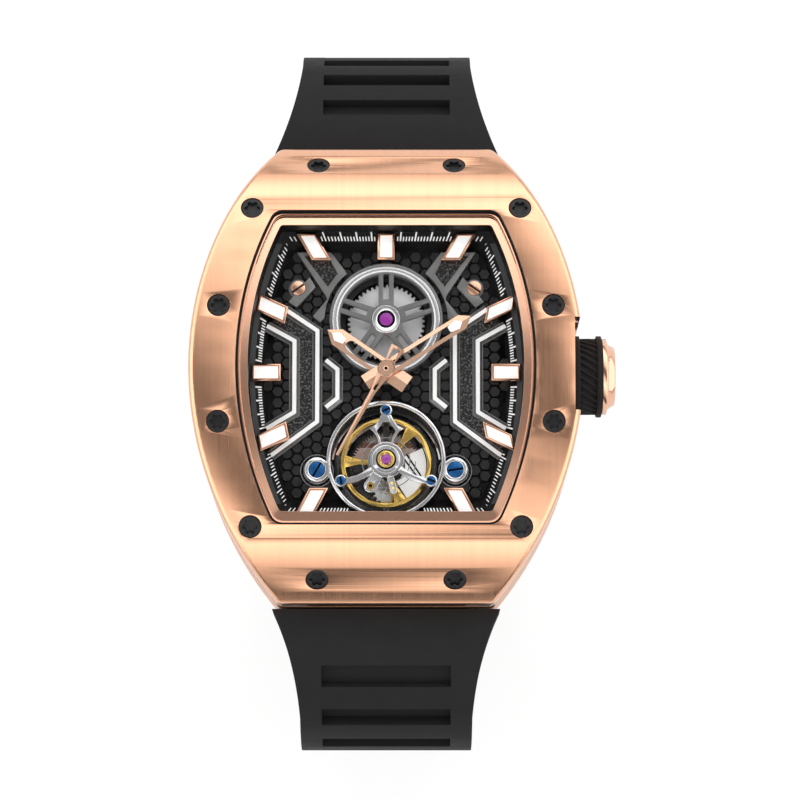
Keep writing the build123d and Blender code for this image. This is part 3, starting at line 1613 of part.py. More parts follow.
def make_seconds_hand():
    """Seconds hand: a slotted root, a thin needle and an open tail."""
    half = seconds_width / 2
    slot_end = seconds_root - hand_bar
    with BuildPart() as hand:
        with BuildSketch(hand_plane(hand_depth(0), seconds_angle)):
            with BuildLine():
                Polyline((-seconds_hub_radius, 0), (-half, seconds_root),
                         (-half / 2, seconds_length), (half / 2, seconds_length),
                         (half, seconds_root), (seconds_hub_radius, 0), close=True)
            make_face()
            with Locations((0, (slot_end + seconds_hub_radius) / 2)):
                Rectangle(half, slot_end - seconds_hub_radius, mode=Mode.SUBTRACT)
            with BuildLine():
                Polyline((-seconds_hub_radius / 2, 0), (-seconds_hub_radius, -seconds_tail),
                         (seconds_hub_radius, -seconds_tail), (seconds_hub_radius / 2, 0), close=True)
            make_face()
            with Locations((0, -(seconds_tail + seconds_hub_radius) / 2)):
                Rectangle(seconds_hub_radius, seconds_tail - seconds_hub_radius - 2 * hand_bar,
                          mode=Mode.SUBTRACT)
            Circle(seconds_hub_radius)
            Circle(seconds_arbor_radius, mode=Mode.SUBTRACT)
        extrude(amount=-hand_thickness)
    return hand.part


# Crown

def crown_plane(x):
    """Workplane across the crown's axis at x."""
    return Plane(origin=(x, 0, height(crown_depth)), x_dir=(0, 1, 0), z_dir=(1, 0, 0))


def crown_disc(x, radius, width):
    """Round disc on the crown's axis, added to the part being built."""
    with BuildSketch(crown_plane(x)) as outline:
        Circle(radius)
    extrude(outline.sketch, amount=width)


def make_crown_rubber():
    """Knurled rubber ring of the crown between its two flanges."""
    knurl_x = crown_start_x + crown_flange_width
    length = 2 * crown_flange_width + crown_knurl_width
    with BuildPart() as rubber:
        crown_disc(crown_start_x, crown_flange_radius, crown_flange_width)
        with BuildSketch(crown_plane(knurl_x)):
            with BuildLine():
                Polyline(*toothed_outline(crown_knurl_radius, crown_knurls, crown_knurl_depth), close=True)
            make_face()
        extrude(amount=crown_knurl_width)
        crown_disc(knurl_x + crown_knurl_width, crown_flange_radius, crown_flange_width)
        with BuildSketch(crown_plane(crown_start_x)):
            Circle(crown_core_radius + press_gap)
        extrude(amount=length, mode=Mode.SUBTRACT)
    return rubber.part


def make_crown_core():
    """Gold body of the crown with its stepped and bevelled end."""
    disc_x = crown_start_x + 2 * crown_flange_width + crown_knurl_width
    cap_x = disc_x + crown_disc_width
    with BuildPart() as core:
        crown_disc(crown_start_x, crown_core_radius, disc_x - crown_start_x)
        crown_disc(disc_x, crown_knurl_radius, crown_disc_width)
        with BuildSketch(crown_plane(cap_x)):
            Circle(crown_cap_radius)
        with BuildSketch(crown_plane(cap_x + crown_cap_width)):
            Circle(crown_cap_end_radius)
        loft()
        with BuildSketch(crown_plane(crown_start_x)):
            Circle(crown_bore_radius)
        extrude(amount=crown_bore_depth, mode=Mode.SUBTRACT)
        with BuildSketch(crown_plane(crown_start_x)):
            Circle(stem_radius + press_gap)
        extrude(amount=crown_bore_depth + crown_disc_width, mode=Mode.SUBTRACT)
    return core.part


def make_crown_stem():
    """Winding stem with the groove that the setting lever holds."""
    stem_length = crown_start_x + crown_bore_depth + crown_disc_width - stem_start_x
    with BuildPart() as stem:
        crown_disc(stem_start_x, stem_radius, stem_length)
        with BuildSketch(crown_plane(stem_groove_x - stem_groove_width / 2)):
            Circle(stem_radius + overrun)
            Circle(stem_groove_radius, mode=Mode.SUBTRACT)
        extrude(amount=stem_groove_width, mode=Mode.SUBTRACT)
    return stem.part


def make_crown_tube():
    """Steel tube in the case wall, which the crown closes over."""
    with BuildPart() as sleeve:
        with BuildSketch(crown_plane(tube_start_x)):
            Circle(tube_radius - press_gap)
            Circle(tube_bore, mode=Mode.SUBTRACT)
        extrude(amount=tube_end_x - tube_start_x)
    return sleeve.part


def make_setting_lever():
    """Forked lever plate that sits in the stem's groove and slides with it."""
    with BuildPart() as lever:
        with BuildSketch(crown_plane(stem_groove_x - lever_thickness / 2)):
            Rectangle(lever_plate_width, lever_plate_length)
            Circle(stem_groove_radius + running_gap, mode=Mode.SUBTRACT)
            with Locations((0, -lever_plate_length / 2)):
                Rectangle(2 * (stem_groove_radius + running_gap), lever_plate_length, mode=Mode.SUBTRACT)
        extrude(amount=lever_thickness)
    return lever.part


# Strap

def root_arc(reach, depth):
    """Centre, radius and end angle of the arc from the strap's turn to its root."""
    back = reach - case_length / 2 - strap_root_gap
    rise = height(depth) - strap_turn_height
    radius = (back ** 2 + rise ** 2) / (2 * back)
    return (reach - radius, strap_turn_height), radius, degrees(atan2(rise, radius - back))


def strap_plan():
    """Plan outline of the strap's upper run, flared towards the case."""
    root_y = case_length / 2 + strap_root_gap
    straight_y = strap_reach - strap_thickness
    waist_y = root_y + strap_waist_share * (strap_reach - root_y)
    root, waist, half = strap_root_width / 2, strap_waist_width / 2, strap_width / 2
    with BuildSketch() as plan:
        with BuildLine():
            ThreePointArc((root, root_y), (waist, waist_y), (half, straight_y))
            Polyline((half, straight_y), (half, strap_reach + overrun), (-half, strap_reach + overrun),
                     (-half, straight_y))
            ThreePointArc((-half, straight_y), (-waist, waist_y), (-root, root_y))
            Line((-root, root_y), (root, root_y))
        make_face()
    return plan.sketch


def strap_groove(centre, radius, start, end):
    """Cross groove in the strap's outer face between two angles, cut from the strap."""
    with BuildSketch(Plane.YZ) as outline:
        with BuildLine():
            outer = CenterArc(centre, radius + overrun, start, end - start)
            inner = CenterArc(centre, radius - strap_window_depth, start, end - start)
            Line(outer @ 0, inner @ 0)
            Line(outer @ 1, inner @ 1)
        make_face()
    extrude(outline.sketch, amount=strap_window_width / 2, both=True, mode=Mode.SUBTRACT)


def strap_half(window_start, rib_pitch, rib_gap):
    """Half strap towards +Y: flared root, turned side, flat end and cross grooves."""
    outer_centre, outer_radius, outer_end = root_arc(strap_reach, strap_root_top_depth)
    inner_centre, inner_radius, inner_end = root_arc(strap_reach - strap_thickness, strap_root_bottom_depth)
    across = strap_reach - strap_flat_end_y
    rise = strap_turn_height - strap_end_height - strap_corner_radius
    side_radius = ((across ** 2 + rise ** 2 - strap_corner_radius ** 2)
                   / (2 * (across - strap_corner_radius)))
    side_end = -degrees(atan2(rise, side_radius - across))
    side_centre = (strap_reach - side_radius, strap_turn_height)
    corner_centre = (strap_flat_end_y, strap_end_height + strap_corner_radius)
    with BuildPart() as strap:
        with BuildSketch(Plane.YZ):
            with BuildLine():
                outer = CenterArc(outer_centre, outer_radius, 0, outer_end)
                inner = CenterArc(inner_centre, inner_radius, 0, inner_end)
                Line(outer @ 0, inner @ 0)
                Line(outer @ 1, inner @ 1)
            make_face()
        extrude(amount=case_width, both=True)
        extrude(strap_plan(), amount=case_top, mode=Mode.INTERSECT)
        with BuildSketch(Plane.YZ):
            with BuildLine():
                outer = CenterArc(side_centre, side_radius, 0, side_end)
                inner = CenterArc(side_centre, side_radius - strap_thickness, 0, side_end)
                outer_corner = CenterArc(corner_centre, strap_corner_radius, side_end, -90 - side_end)
                inner_corner = CenterArc(corner_centre, strap_corner_radius - strap_thickness, side_end,
                                         -90 - side_end)
                Line(outer @ 0, inner @ 0)
                Line(outer_corner @ 1, inner_corner @ 1)
            make_face()
        extrude(amount=strap_width / 2, both=True)
        with BuildSketch(plane_at(case_top - strap_end_height, 0, (strap_flat_end_y + strap_end_y) / 2)):
            Rectangle(strap_end_width, strap_flat_end_y - strap_end_y)
        extrude(amount=strap_thickness)
        for rib in range(rib_gaps):
            start = window_start - rib * rib_pitch
            end = start - rib_gap
            if start > 0:
                strap_groove(outer_centre, outer_radius, degrees(start / outer_radius),
                             degrees(max(end, 0) / outer_radius))
            if end < 0:
                strap_groove(side_centre, side_radius, degrees(min(start, 0) / side_radius),
                             degrees(end / side_radius))
        add(tongue_block(1, 0))
        with BuildSketch(strap_pin_plane(1)):
            Circle(strap_pin_radius + running_gap)
        extrude(amount=strap_pin_length, mode=Mode.SUBTRACT)
        screw_end = case_top - strap_end_height - clasp_screw_length
        for x, y in clasp_screw_places:
            if y > 0:
                opening_cut(x, y, clasp_screw_shank + press_gap, screw_end, clasp_screw_length + overrun)
    return strap.part


def make_upper_strap():
    """Half strap at 12 o'clock."""
    return strap_half(upper_window_start, upper_rib_pitch, upper_rib_gap)


def make_lower_strap():
    """Half strap at 6 o'clock, the mirror of the other."""
    with BuildPart() as strap:
        mirror(strap_half(lower_window_start, lower_rib_pitch, lower_rib_gap), about=Plane.XZ)
    return strap.part


def make_strap_pins():
    """Two pins that hold the strap's tongues in the case middle."""
    with BuildPart() as pins:
        for side in (1, -1):
            with BuildSketch(strap_pin_plane(side).offset(running_gap)):
                Circle(strap_pin_radius)
            extrude(amount=strap_pin_length - 2 * running_gap)
    return pins.part


# Folding clasp

def clasp_axis_plane(x):
    """Workplane across the clasp's hinge axis at x."""
    return Plane(origin=(x, clasp_hinge_y, clasp_hinge_height), x_dir=(0, 1, 0), z_dir=(1, 0, 0))


def hinge_cut(radius, half_width):
    """Round clearance along the hinge axis, cut from the part being built."""
    with BuildSketch(clasp_axis_plane(-half_width)) as outline:
        Circle(radius)
    extrude(outline.sketch, amount=2 * half_width, mode=Mode.SUBTRACT)


def button_hole(side, clearance):
    """Section of a push button in the cover's side wall, on a plane across X."""
    with BuildSketch(Plane(origin=(side * clasp_width / 2, button_y, button_middle), x_dir=(0, 1, 0),
                           z_dir=(1, 0, 0))) as hole:
        Rectangle(button_width + 2 * clearance, button_height + 2 * clearance)
        fillet(hole.vertices(), button_height / 4)
    return hole.sketch


def make_clasp_cover():
    """Outer cover of the clasp: flat plate, side walls and hinge knuckles."""
    length = clasp_end_y - clasp_hinge_y
    middle_y = (clasp_end_y + clasp_hinge_y) / 2
    wall_height = clasp_wall_top - clasp_plate
    with BuildPart() as cover:
        with BuildSketch(Plane(origin=(0, middle_y, 0))):
            Rectangle(clasp_width, length)
        extrude(amount=clasp_plate)
        outer_edges = cover.faces().sort_by(Axis.Z)[0].edges().filter_by(Axis.X)
        chamfer(outer_edges.sort_by(Axis.Y)[-1], clasp_plate / 2)
        with BuildSketch(Plane(origin=(0, button_y, clasp_plate))):
            for side in (1, -1):
                with Locations((side * (clasp_width - clasp_wall) / 2, 0)):
                    Rectangle(clasp_wall, 2 * clasp_wall_half_length)
        extrude(amount=wall_height)
        with BuildSketch(clasp_axis_plane(-clasp_width / 2)):
            Circle(clasp_knuckle_radius)
        extrude(amount=clasp_width)
        gap_half = clasp_knuckle_width / 2 + air_gap
        hinge_cut(clasp_knuckle_radius + air_gap, gap_half)
        hinge_cut(clasp_pin_radius + running_gap, clasp_width)
        for side in (1, -1):
            extrude(button_hole(side, slip_gap), amount=clasp_wall + running_gap, both=True,
                    mode=Mode.SUBTRACT)
    return cover.part


def blade_plate(start_y, end_y):
    """Flat blade of the clasp between two places, added to the part being built."""
    with BuildSketch(Plane(origin=(0, (start_y + end_y) / 2, clasp_blade_bottom))) as outline:
        Rectangle(clasp_blade_width, end_y - start_y)
    extrude(outline.sketch, amount=clasp_blade_thickness)


def cut_clasp_screw_holes(side):
    """Screw holes of the blade on one side of the clasp's middle."""
    for x, y in clasp_screw_places:
        if y * side > 0:
            with BuildSketch(Plane(origin=(x, y, clasp_blade_bottom))) as outline:
                Circle(clasp_screw_radius + press_gap)
            extrude(outline.sketch, amount=clasp_screw_head, mode=Mode.SUBTRACT)
            with BuildSketch(Plane(origin=(x, y, clasp_blade_bottom))) as outline:
                Circle(clasp_screw_shank + press_gap)
            extrude(outline.sketch, amount=clasp_blade_thickness, mode=Mode.SUBTRACT)


def make_clasp_blade():
    """Inner blade of the clasp, screwed under the 6 o'clock strap half."""
    with BuildPart() as blade:
        blade_plate(clasp_hinge_y, -clasp_blade_gap / 2)
        hinge_cut(clasp_knuckle_radius + air_gap, clasp_width)
        with BuildSketch(clasp_axis_plane(-clasp_knuckle_width / 2)):
            Circle(clasp_knuckle_radius)
            tail = 2 * clasp_knuckle_radius
            with Locations((tail / 2, clasp_blade_bottom - clasp_hinge_height + clasp_blade_thickness / 2)):
                Rectangle(tail, clasp_blade_thickness)
        extrude(amount=clasp_knuckle_width)
        hinge_cut(clasp_pin_radius + press_gap, clasp_width)
        cut_clasp_screw_holes(-1)
    return blade.part


def make_clasp_catch():
    """Catch plate of the clasp, screwed under the 12 o'clock strap half."""
    with BuildPart() as catch:
        blade_plate(clasp_blade_gap / 2, clasp_catch_end_y)
        cut_clasp_screw_holes(1)
    return catch.part


def make_clasp_screws():
    """Four screws that hold the clasp's plates to the strap."""
    with BuildPart() as screws:
        for x, y in clasp_screw_places:
            with BuildSketch(Plane(origin=(x, y, clasp_blade_bottom))):
                Circle(clasp_screw_radius)
            extrude(amount=clasp_screw_head)
            with BuildSketch(Plane(origin=(x, y, clasp_blade_bottom))):
                Circle(clasp_screw_shank)
            extrude(amount=strap_end_height - clasp_blade_bottom + clasp_screw_length - running_gap)
            with BuildSketch(Plane(origin=(x, y, clasp_blade_bottom))):
                Rectangle(2 * clasp_screw_radius + overrun, slot_width)
            extrude(amount=slot_depth, mode=Mode.SUBTRACT)
    return screws.part


def make_clasp_hinge_pin():
    """Pin of the clasp's hinge."""
    with BuildPart() as pin:
        with BuildSketch(clasp_axis_plane(-clasp_width / 2)):
            Circle(clasp_pin_radius)
        extrude(amount=clasp_width)
    return pin.part


def clasp_button(side):
    """Push button in one side wall, with the flange that keeps it in."""
    wall_inner = clasp_width / 2 - clasp_wall
    section = button_hole(side, 0)
    flange = button_hole(side, button_flange_lip)
    with BuildPart() as button:
        extrude(section, amount=side * button_proud)
        extrude(section, amount=-side * (clasp_wall + running_gap))
        extrude(flange.moved(Location((-side * (clasp_width / 2 - wall_inner + running_gap), 0, 0))),
                amount=-side * button_flange)
    return button.part


def make_right_clasp_button():
    """Push button on the crown's side of the clasp."""
    return clasp_button(1)


def make_left_clasp_button():
    """Push button on the other side of the clasp."""
    return clasp_button(-1)


makers = (
    make_bezel, make_bezel_screws, make_bezel_gasket, make_case_middle, make_case_back, make_back_crystal,
    make_back_screws, make_front_crystal, make_inner_flange, make_chapter_ring, make_hour_index_frames,
    make_hour_index_lume, make_dial_plate, make_dial_brackets, make_upper_frames, make_dial_screws,
    make_main_plate, make_train_bridge, make_bridge_screws, make_barrel_bridge, make_barrel_jewel,
    make_barrel, make_mainspring, make_barrel_arbor, make_crown_wheel, make_hour_wheel, make_centre_wheel,
    make_seconds_arbor, make_third_wheel, make_tourbillon_ring, make_ring_screws, make_cage_bridge,
    make_cage_base, make_cage_screws, make_cage_jewel, make_shock_spring, make_regulator,
    make_balance_wheel, make_hairspring, make_escape_wheel, make_pallet_fork, make_fixed_wheel,
    make_minute_hand, make_hour_hand, make_seconds_hand, make_crown_rubber, make_crown_core,
    make_crown_stem, make_crown_tube, make_setting_lever, make_upper_strap, make_lower_strap,
    make_strap_pins, make_clasp_cover, make_clasp_blade, make_clasp_catch, make_clasp_screws,
    make_clasp_hinge_pin, make_right_clasp_button, make_left_clasp_button,
)

os.makedirs("parts", exist_ok=True)
for maker in makers:
    save(maker(), maker.__name__.removeprefix("make_"))
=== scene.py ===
"""Tonneau wristwatch with an open dial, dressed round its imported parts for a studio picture."""
from __future__ import annotations

import json
import logging
import math
from dataclasses import dataclass, field
from enum import Enum
from functools import cache
from typing import Callable, Sequence

import bmesh
import bpy
from mathutils import Matrix, Vector


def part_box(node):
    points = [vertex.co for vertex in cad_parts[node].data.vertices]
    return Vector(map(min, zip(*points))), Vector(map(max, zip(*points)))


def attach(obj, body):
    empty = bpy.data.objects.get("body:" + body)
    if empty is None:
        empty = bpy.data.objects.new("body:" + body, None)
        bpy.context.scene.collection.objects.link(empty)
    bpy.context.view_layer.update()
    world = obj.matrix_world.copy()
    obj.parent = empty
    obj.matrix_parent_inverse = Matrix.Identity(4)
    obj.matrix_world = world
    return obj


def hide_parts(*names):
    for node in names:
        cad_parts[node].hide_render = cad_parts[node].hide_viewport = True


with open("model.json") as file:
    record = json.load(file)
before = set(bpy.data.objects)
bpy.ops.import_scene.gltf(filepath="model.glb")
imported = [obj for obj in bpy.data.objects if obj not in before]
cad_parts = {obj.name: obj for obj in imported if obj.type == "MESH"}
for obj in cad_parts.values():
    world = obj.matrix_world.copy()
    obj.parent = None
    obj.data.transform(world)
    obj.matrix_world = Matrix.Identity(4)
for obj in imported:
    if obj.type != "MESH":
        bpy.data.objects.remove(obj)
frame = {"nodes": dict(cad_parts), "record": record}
log = logging.getLogger("watch")
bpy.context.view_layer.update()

# Lengths are in millimetres and angles in degrees, unless a docstring says otherwise.
MM = 0.001
CASE_TOP = 60.0
SAME_PLACE = 1e-7
FLAT_WITHIN = 0.6
SHARP_FROM = 32.0
SMOOTH_BAND = 60.0
CRISP_STEPS = 15.0
WHITE = (1, 1, 1, 1)
Point = tuple[float, float]
Triple = tuple[float, float, float]
Section = tuple[Point, ...]
# Rows of a CAD node, its finish, the width of its rounded edges and the steps of the rounding.
Table = tuple[tuple, ...]
Piece = bpy.types.Object
Tree = bpy.types.NodeTree
Socket = bpy.types.NodeSocket


def level(depth: float) -> float:
    """Height in millimetres of a depth below the bezel's crest."""
    return CASE_TOP - depth


def polar(centre: Point, radius: float, angle: float) -> Point:
    """Place at a radius and an angle in radians from a centre."""
    return centre[0] + radius * math.cos(angle), centre[1] + radius * math.sin(angle)


# ---------------------------------------------------------------- materials

def add_node(tree: Tree, kind: str, settings: dict | None = None,
             **inputs: object) -> bpy.types.Node:
    """Add a node, set its options and fill or link its inputs.

    Args:
        tree: Tree that gets the node.
        kind: Blender's type name of the node.
        settings: Attributes of the node, by name.
        inputs: Values or output sockets by input name, with underscores for spaces, or by i and a number.

    Returns:
        The new node.
    """
    made = tree.nodes.new(kind)
    for key, value in (settings or {}).items():
        setattr(made, key, value)
    for key, value in inputs.items():
        name = key.replace("_", " ")
        socket = made.inputs[int(name[1:])] if name[0] == "i" and name[1:].isdigit() else made.inputs[name]
        if isinstance(value, Socket):
            tree.links.new(value, socket)
        else:
            socket.default_value = value
    return made


def maths(tree: Tree, operation: str, first: object, second: object = 0.0) -> Socket:
    """Output of a Math node on one or two values."""
    return add_node(tree, "ShaderNodeMath", {"operation": operation}, i0=first, i1=second).outputs[0]


def vector_maths(tree: Tree, operation: str, first: object, **more: object) -> bpy.types.Node:
    """Vector Math node on a vector and what more the operation takes."""
    return add_node(tree, "ShaderNodeVectorMath", {"operation": operation}, i0=first, **more)


def ranged(tree: Tree, value: object, smooth: bool = False, **limits: object) -> Socket:
    """Output of a Map Range node, straight or smooth, with the limits that it is given."""
    settings = {"interpolation_type": "SMOOTHSTEP" if smooth else "LINEAR"}
    return add_node(tree, "ShaderNodeMapRange", settings, Value=value, **limits).outputs["Result"]


def toned(tree: Tree, share: object, first: object, second: object) -> Socket:
    """Colour between two colours."""
    return add_node(tree, "ShaderNodeMix", {"data_type": "RGBA"}, i0=share, i6=first, i7=second).outputs[2]


def blended(tree: Tree, share: object, first: bpy.types.Node,
            second: bpy.types.Node) -> bpy.types.Node:
    """Mix Shader node between two shader nodes."""
    return add_node(tree, "ShaderNodeMixShader", {}, i0=share, i1=first.outputs[0], i2=second.outputs[0])


def new_group(name: str, kind: str, inputs: Sequence[tuple], outputs: Sequence[tuple[str, str]]) -> tuple:
    """Start a node group with named sockets.

    Args:
        name: Name of the group.
        kind: Type of the tree.
        inputs: Name, socket type and default of each input.
        outputs: Name and socket type of each output.

    Returns:
        The tree, its input node and its output node.
    """
    tree = bpy.data.node_groups.new(name, kind)
    for label, socket_type, default in inputs:
        socket = tree.interface.new_socket(label, in_out="INPUT", socket_type=socket_type)
        if default is not None:
            socket.default_value = default
    for label, socket_type in outputs:
        tree.interface.new_socket(label, in_out="OUTPUT", socket_type=socket_type)
    return tree, tree.nodes.new("NodeGroupInput"), tree.nodes.new("NodeGroupOutput")


def new_material(name: str, values: dict[str, object]) -> tuple[bpy.types.Material, bpy.types.Node]:
    """Start a material.

    Args:
        name: Name of the material.
        values: Constants of its Principled shader by socket name.

    Returns:
        The material and its Principled shader.
    """
    made = bpy.data.materials.new(name)
    made.use_nodes = True
    surface = made.node_tree.nodes["Principled BSDF"]
    for label, value in values.items():
        surface.inputs[label].default_value = value
    return made, surface


class Pattern(Enum):
    """How a surface is worked, by the name of its shader group."""

    LINES = "brushed_lines"
    GRAIN = "fine_grain"
    TURNED = "turned_rings"


@dataclass(frozen=True)
class Working:
    """Noises and bump of one pattern."""

    fine_detail: float
    fine_roughness: float
    broad_scale: float
    broad_detail: float
    bump_distance: float


WORKINGS = {Pattern.LINES: Working(3.0, 0.6, 0.16, 2.0, 2e-5),
            Pattern.GRAIN: Working(2.0, 0.5, 0.05, 3.0, 3e-5),
            Pattern.TURNED: Working(2.0, 0.5, 0.2, 1.0, 2e-5)}


@cache
def worked_group(pattern: Pattern) -> Tree:
    """Shader group of a worked surface: a fine mask, a broad mask and a normal.

    Args:
        pattern: How the surface is worked. Turned rings run round an upright axis through the input Axis.

    Returns:
        The group, built on first use.
    """
    working, turned = WORKINGS[pattern], pattern is Pattern.TURNED
    tree, start, end = new_group(
        pattern.value, "ShaderNodeTree",
        [("Density", "NodeSocketVector", (6000, 6000, 6000)), ("Depth", "NodeSocketFloat", 0.2)]
        + [("Axis", "NodeSocketVector", (0, 0, 0))] * turned,
        [("Fine", "NodeSocketFloat"), ("Broad", "NodeSocketFloat"), ("Normal", "NodeSocketVector")])
    place, density = add_node(tree, "ShaderNodeTexCoord").outputs["Object"], start.outputs["Density"]
    if turned:
        centred = vector_maths(tree, "SUBTRACT", place, i1=start.outputs["Axis"])
        flat = vector_maths(tree, "MULTIPLY", centred.outputs[0], i1=(1, 1, 0))
        radius = vector_maths(tree, "LENGTH", flat.outputs[0])
        scaled = vector_maths(tree, "SCALE", density, Scale=radius.outputs["Value"])
    else:
        scaled = vector_maths(tree, "MULTIPLY", place, i1=density)
    fine = add_node(tree, "ShaderNodeTexNoise", {}, Vector=scaled.outputs[0], Scale=1.0,
                    Detail=working.fine_detail, Roughness=working.fine_roughness)
    spread = vector_maths(tree, "SCALE", scaled.outputs[0], Scale=working.broad_scale)
    broad = add_node(tree, "ShaderNodeTexNoise", {}, Vector=spread.outputs[0], Scale=1.0,
                     Detail=working.broad_detail)
    bump = add_node(tree, "ShaderNodeBump", {}, Strength=start.outputs["Depth"], Distance=working.bump_distance,
                    Height=fine.outputs["Fac"])
    for label, socket in (("Fine", fine.outputs["Fac"]), ("Broad", broad.outputs["Fac"]),
                          ("Normal", bump.outputs["Normal"])):
        tree.links.new(socket, end.inputs[label])
    return tree


@cache
def side_group() -> Tree:
    """Shader group with a mask of the faces that look along an axis, in the piece's own space.

    Returns:
        The group, built on first use.
    """
    tree, start, end = new_group(
        "side_mask", "ShaderNodeTree",
        [("Axis", "NodeSocketVector", (1, 0, 0)), ("From", "NodeSocketFloat", 0.12),
         ("To", "NodeSocketFloat", 0.3)],
        [("Mask", "NodeSocketFloat")])
    facing = add_node(tree, "ShaderNodeTexCoord").outputs["Normal"]
    lean = vector_maths(tree, "DOT_PRODUCT", facing, i1=start.outputs["Axis"])
    size = maths(tree, "ABSOLUTE", lean.outputs["Value"])
    mask = ranged(tree, size, True, From_Min=start.outputs["From"], From_Max=start.outputs["To"])
    tree.links.new(mask, end.inputs["Mask"])
    return tree


@dataclass(frozen=True)
class Finish:
    """One finish of the watch, built once as a material."""

    name: str
    colour: Triple
    metallic: float = 1.0
    roughness: float = 0.25
    pattern: Pattern = Pattern.GRAIN
    density: Triple = (5000, 5000, 5000)
    depth: float = 0.1
    rough_swing: float = 0.1
    shade: float = 0.12
    axis: Triple = (0, 0, 0)
    polished_sides: bool = False
    coat: float = 0.0
    coat_ior: float = 1.5
    specular: float = 0.5
    # painted_glow is emission that makes a part give off light of its own though it is no lamp: painted light.
    painted_glow: float = 0.0
    coarse: bool = False
    least_roughness: float = 0.02
    side_roughness: float = 0.09
    grain_span: Point = (0.5, 0.66)
    noise_span: Point = (0.25, 0.75)

    @cache
    def material(self) -> bpy.types.Material:
        """Blender material of this finish.

        Returns:
            The material, built on first use.
        """
        values = {"Metallic": self.metallic, "Coat Weight": self.coat, "Coat IOR": self.coat_ior,
                  "Coat Roughness": self.roughness, "Specular IOR Level": self.specular}
        # Emission for painted_glow: painted light, not a lamp.
        if self.painted_glow:
            values.update({"Emission Color": (*self.colour, 1.0), "Emission Strength": self.painted_glow})
        made, surface = new_material(self.name, values)
        tree = made.node_tree
        worked = add_node(tree, "ShaderNodeGroup", {"node_tree": worked_group(self.pattern)},
                          Density=self.density, Depth=self.depth)
        if self.pattern is Pattern.TURNED:
            worked.inputs["Axis"].default_value = self.axis
        fine, mask = worked.outputs["Fine"], worked.outputs["Broad"]
        if self.coarse:
            mask = ranged(tree, fine, From_Min=self.grain_span[0], From_Max=self.grain_span[1])
        darker = (*(channel * (1 - self.shade) for channel in self.colour), 1.0)
        lighter = (*(min(channel * (1 + self.shade), 1.0) for channel in self.colour), 1.0)
        rough = ranged(tree, fine, From_Min=self.noise_span[0], From_Max=self.noise_span[1],
                       To_Min=max(self.roughness - self.rough_swing / 2, self.least_roughness),
                       To_Max=self.roughness + self.rough_swing / 2)
        if self.polished_sides:
            side = add_node(tree, "ShaderNodeGroup", {"node_tree": side_group()})
            calm = ranged(tree, side.outputs["Mask"], To_Min=1.0, To_Max=0.0)
            rough = maths(tree, "MAXIMUM", maths(tree, "MULTIPLY", rough, calm), self.side_roughness)
        tree.links.new(toned(tree, mask, darker, lighter), surface.inputs["Base Color"])
        tree.links.new(rough, surface.inputs["Roughness"])
        tree.links.new(worked.outputs["Normal"], surface.inputs["Normal"])
        made.diffuse_color = (*self.colour, 1.0)
        return made


GOLD = (0.92, 0.455, 0.25)
BRUSHED_GOLD = Finish("brushed_rose_gold", GOLD, roughness=0.22, coat=0.8, coat_ior=1.9, pattern=Pattern.LINES,
                      density=(13000, 180, 180), depth=0.35, rough_swing=0.12, shade=0.07, polished_sides=True)
BRUSHED_GOLD_FLANK = Finish("brushed_rose_gold_flank", GOLD, roughness=0.28, pattern=Pattern.LINES,
                            density=(300, 300, 13000), depth=0.3, rough_swing=0.12, shade=0.08)
POLISHED_GOLD = Finish("polished_rose_gold", (0.92, 0.49, 0.31), roughness=0.13, coat=0.7, coat_ior=1.9,
                       depth=0.03, rough_swing=0.05, shade=0.03)
HAND_GOLD = Finish("hand_rose_gold", (0.93, 0.56, 0.38), metallic=0.85, roughness=0.2, coat=0.4, coat_ior=1.7,
                   depth=0.03, rough_swing=0.05, shade=0.03)
BLACK_STEEL = Finish("black_coated_steel", (0.012, 0.012, 0.013), metallic=0.3, roughness=0.42, depth=0.15,
                     shade=0.2)
RUBBER = Finish("black_rubber", (0.017, 0.017, 0.0175), metallic=0.0, roughness=0.62,
                density=(9000, 9000, 9000), depth=0.25, rough_swing=0.16, shade=0.14, specular=0.14)
GASKET = Finish("black_gasket", (0.01, 0.01, 0.01), metallic=0.0, roughness=0.7, shade=0.2)
RING_BLACK = Finish("matte_black_ring", (0.006, 0.006, 0.006), metallic=0.0, roughness=0.5, specular=0.15)
RING_GREY = Finish("grey_ring_band", (0.055, 0.058, 0.06), metallic=0.0, roughness=0.5, shade=0.15,
                   specular=0.2)
DIAL_BLACK = Finish("black_dial", (0.003, 0.003, 0.0035), metallic=0.0, roughness=0.5, depth=0.15,
                    specular=0.15)
CELL_BLACK = Finish("black_cells", (0.012, 0.012, 0.013), metallic=0.2, roughness=0.36,
                    density=(7000, 7000, 7000), depth=0.25, rough_swing=0.15, shade=0.25)
GRAINED_BLACK = Finish("grained_black", (0.07, 0.07, 0.072), metallic=0.2, roughness=0.4,
                       density=(4200, 4200, 4200), depth=1.0, rough_swing=0.2, shade=0.96, coarse=True)
# Near-black that paints shade in screw slots and in the rings round the jewels; also used for the dark bars on
# the cage's foot plate and the seconds pin.
SLOT_BLACK = Finish("slot_shadow", (0.003, 0.003, 0.004), metallic=0.0, roughness=0.6, specular=0.1)
# The ticks' white is their real paint; their glow is painted light.
WHITE_PAINT = Finish("white_paint", (0.86, 0.86, 0.85), metallic=0.0, roughness=0.5, shade=0.03, painted_glow=0.3)
# The lume's white is its own colour; its glow is painted light.
LUME = Finish("luminous_white", (0.90, 0.905, 0.89), metallic=0.0, roughness=0.6,
              density=(16000, 16000, 16000), shade=0.02, painted_glow=0.45)
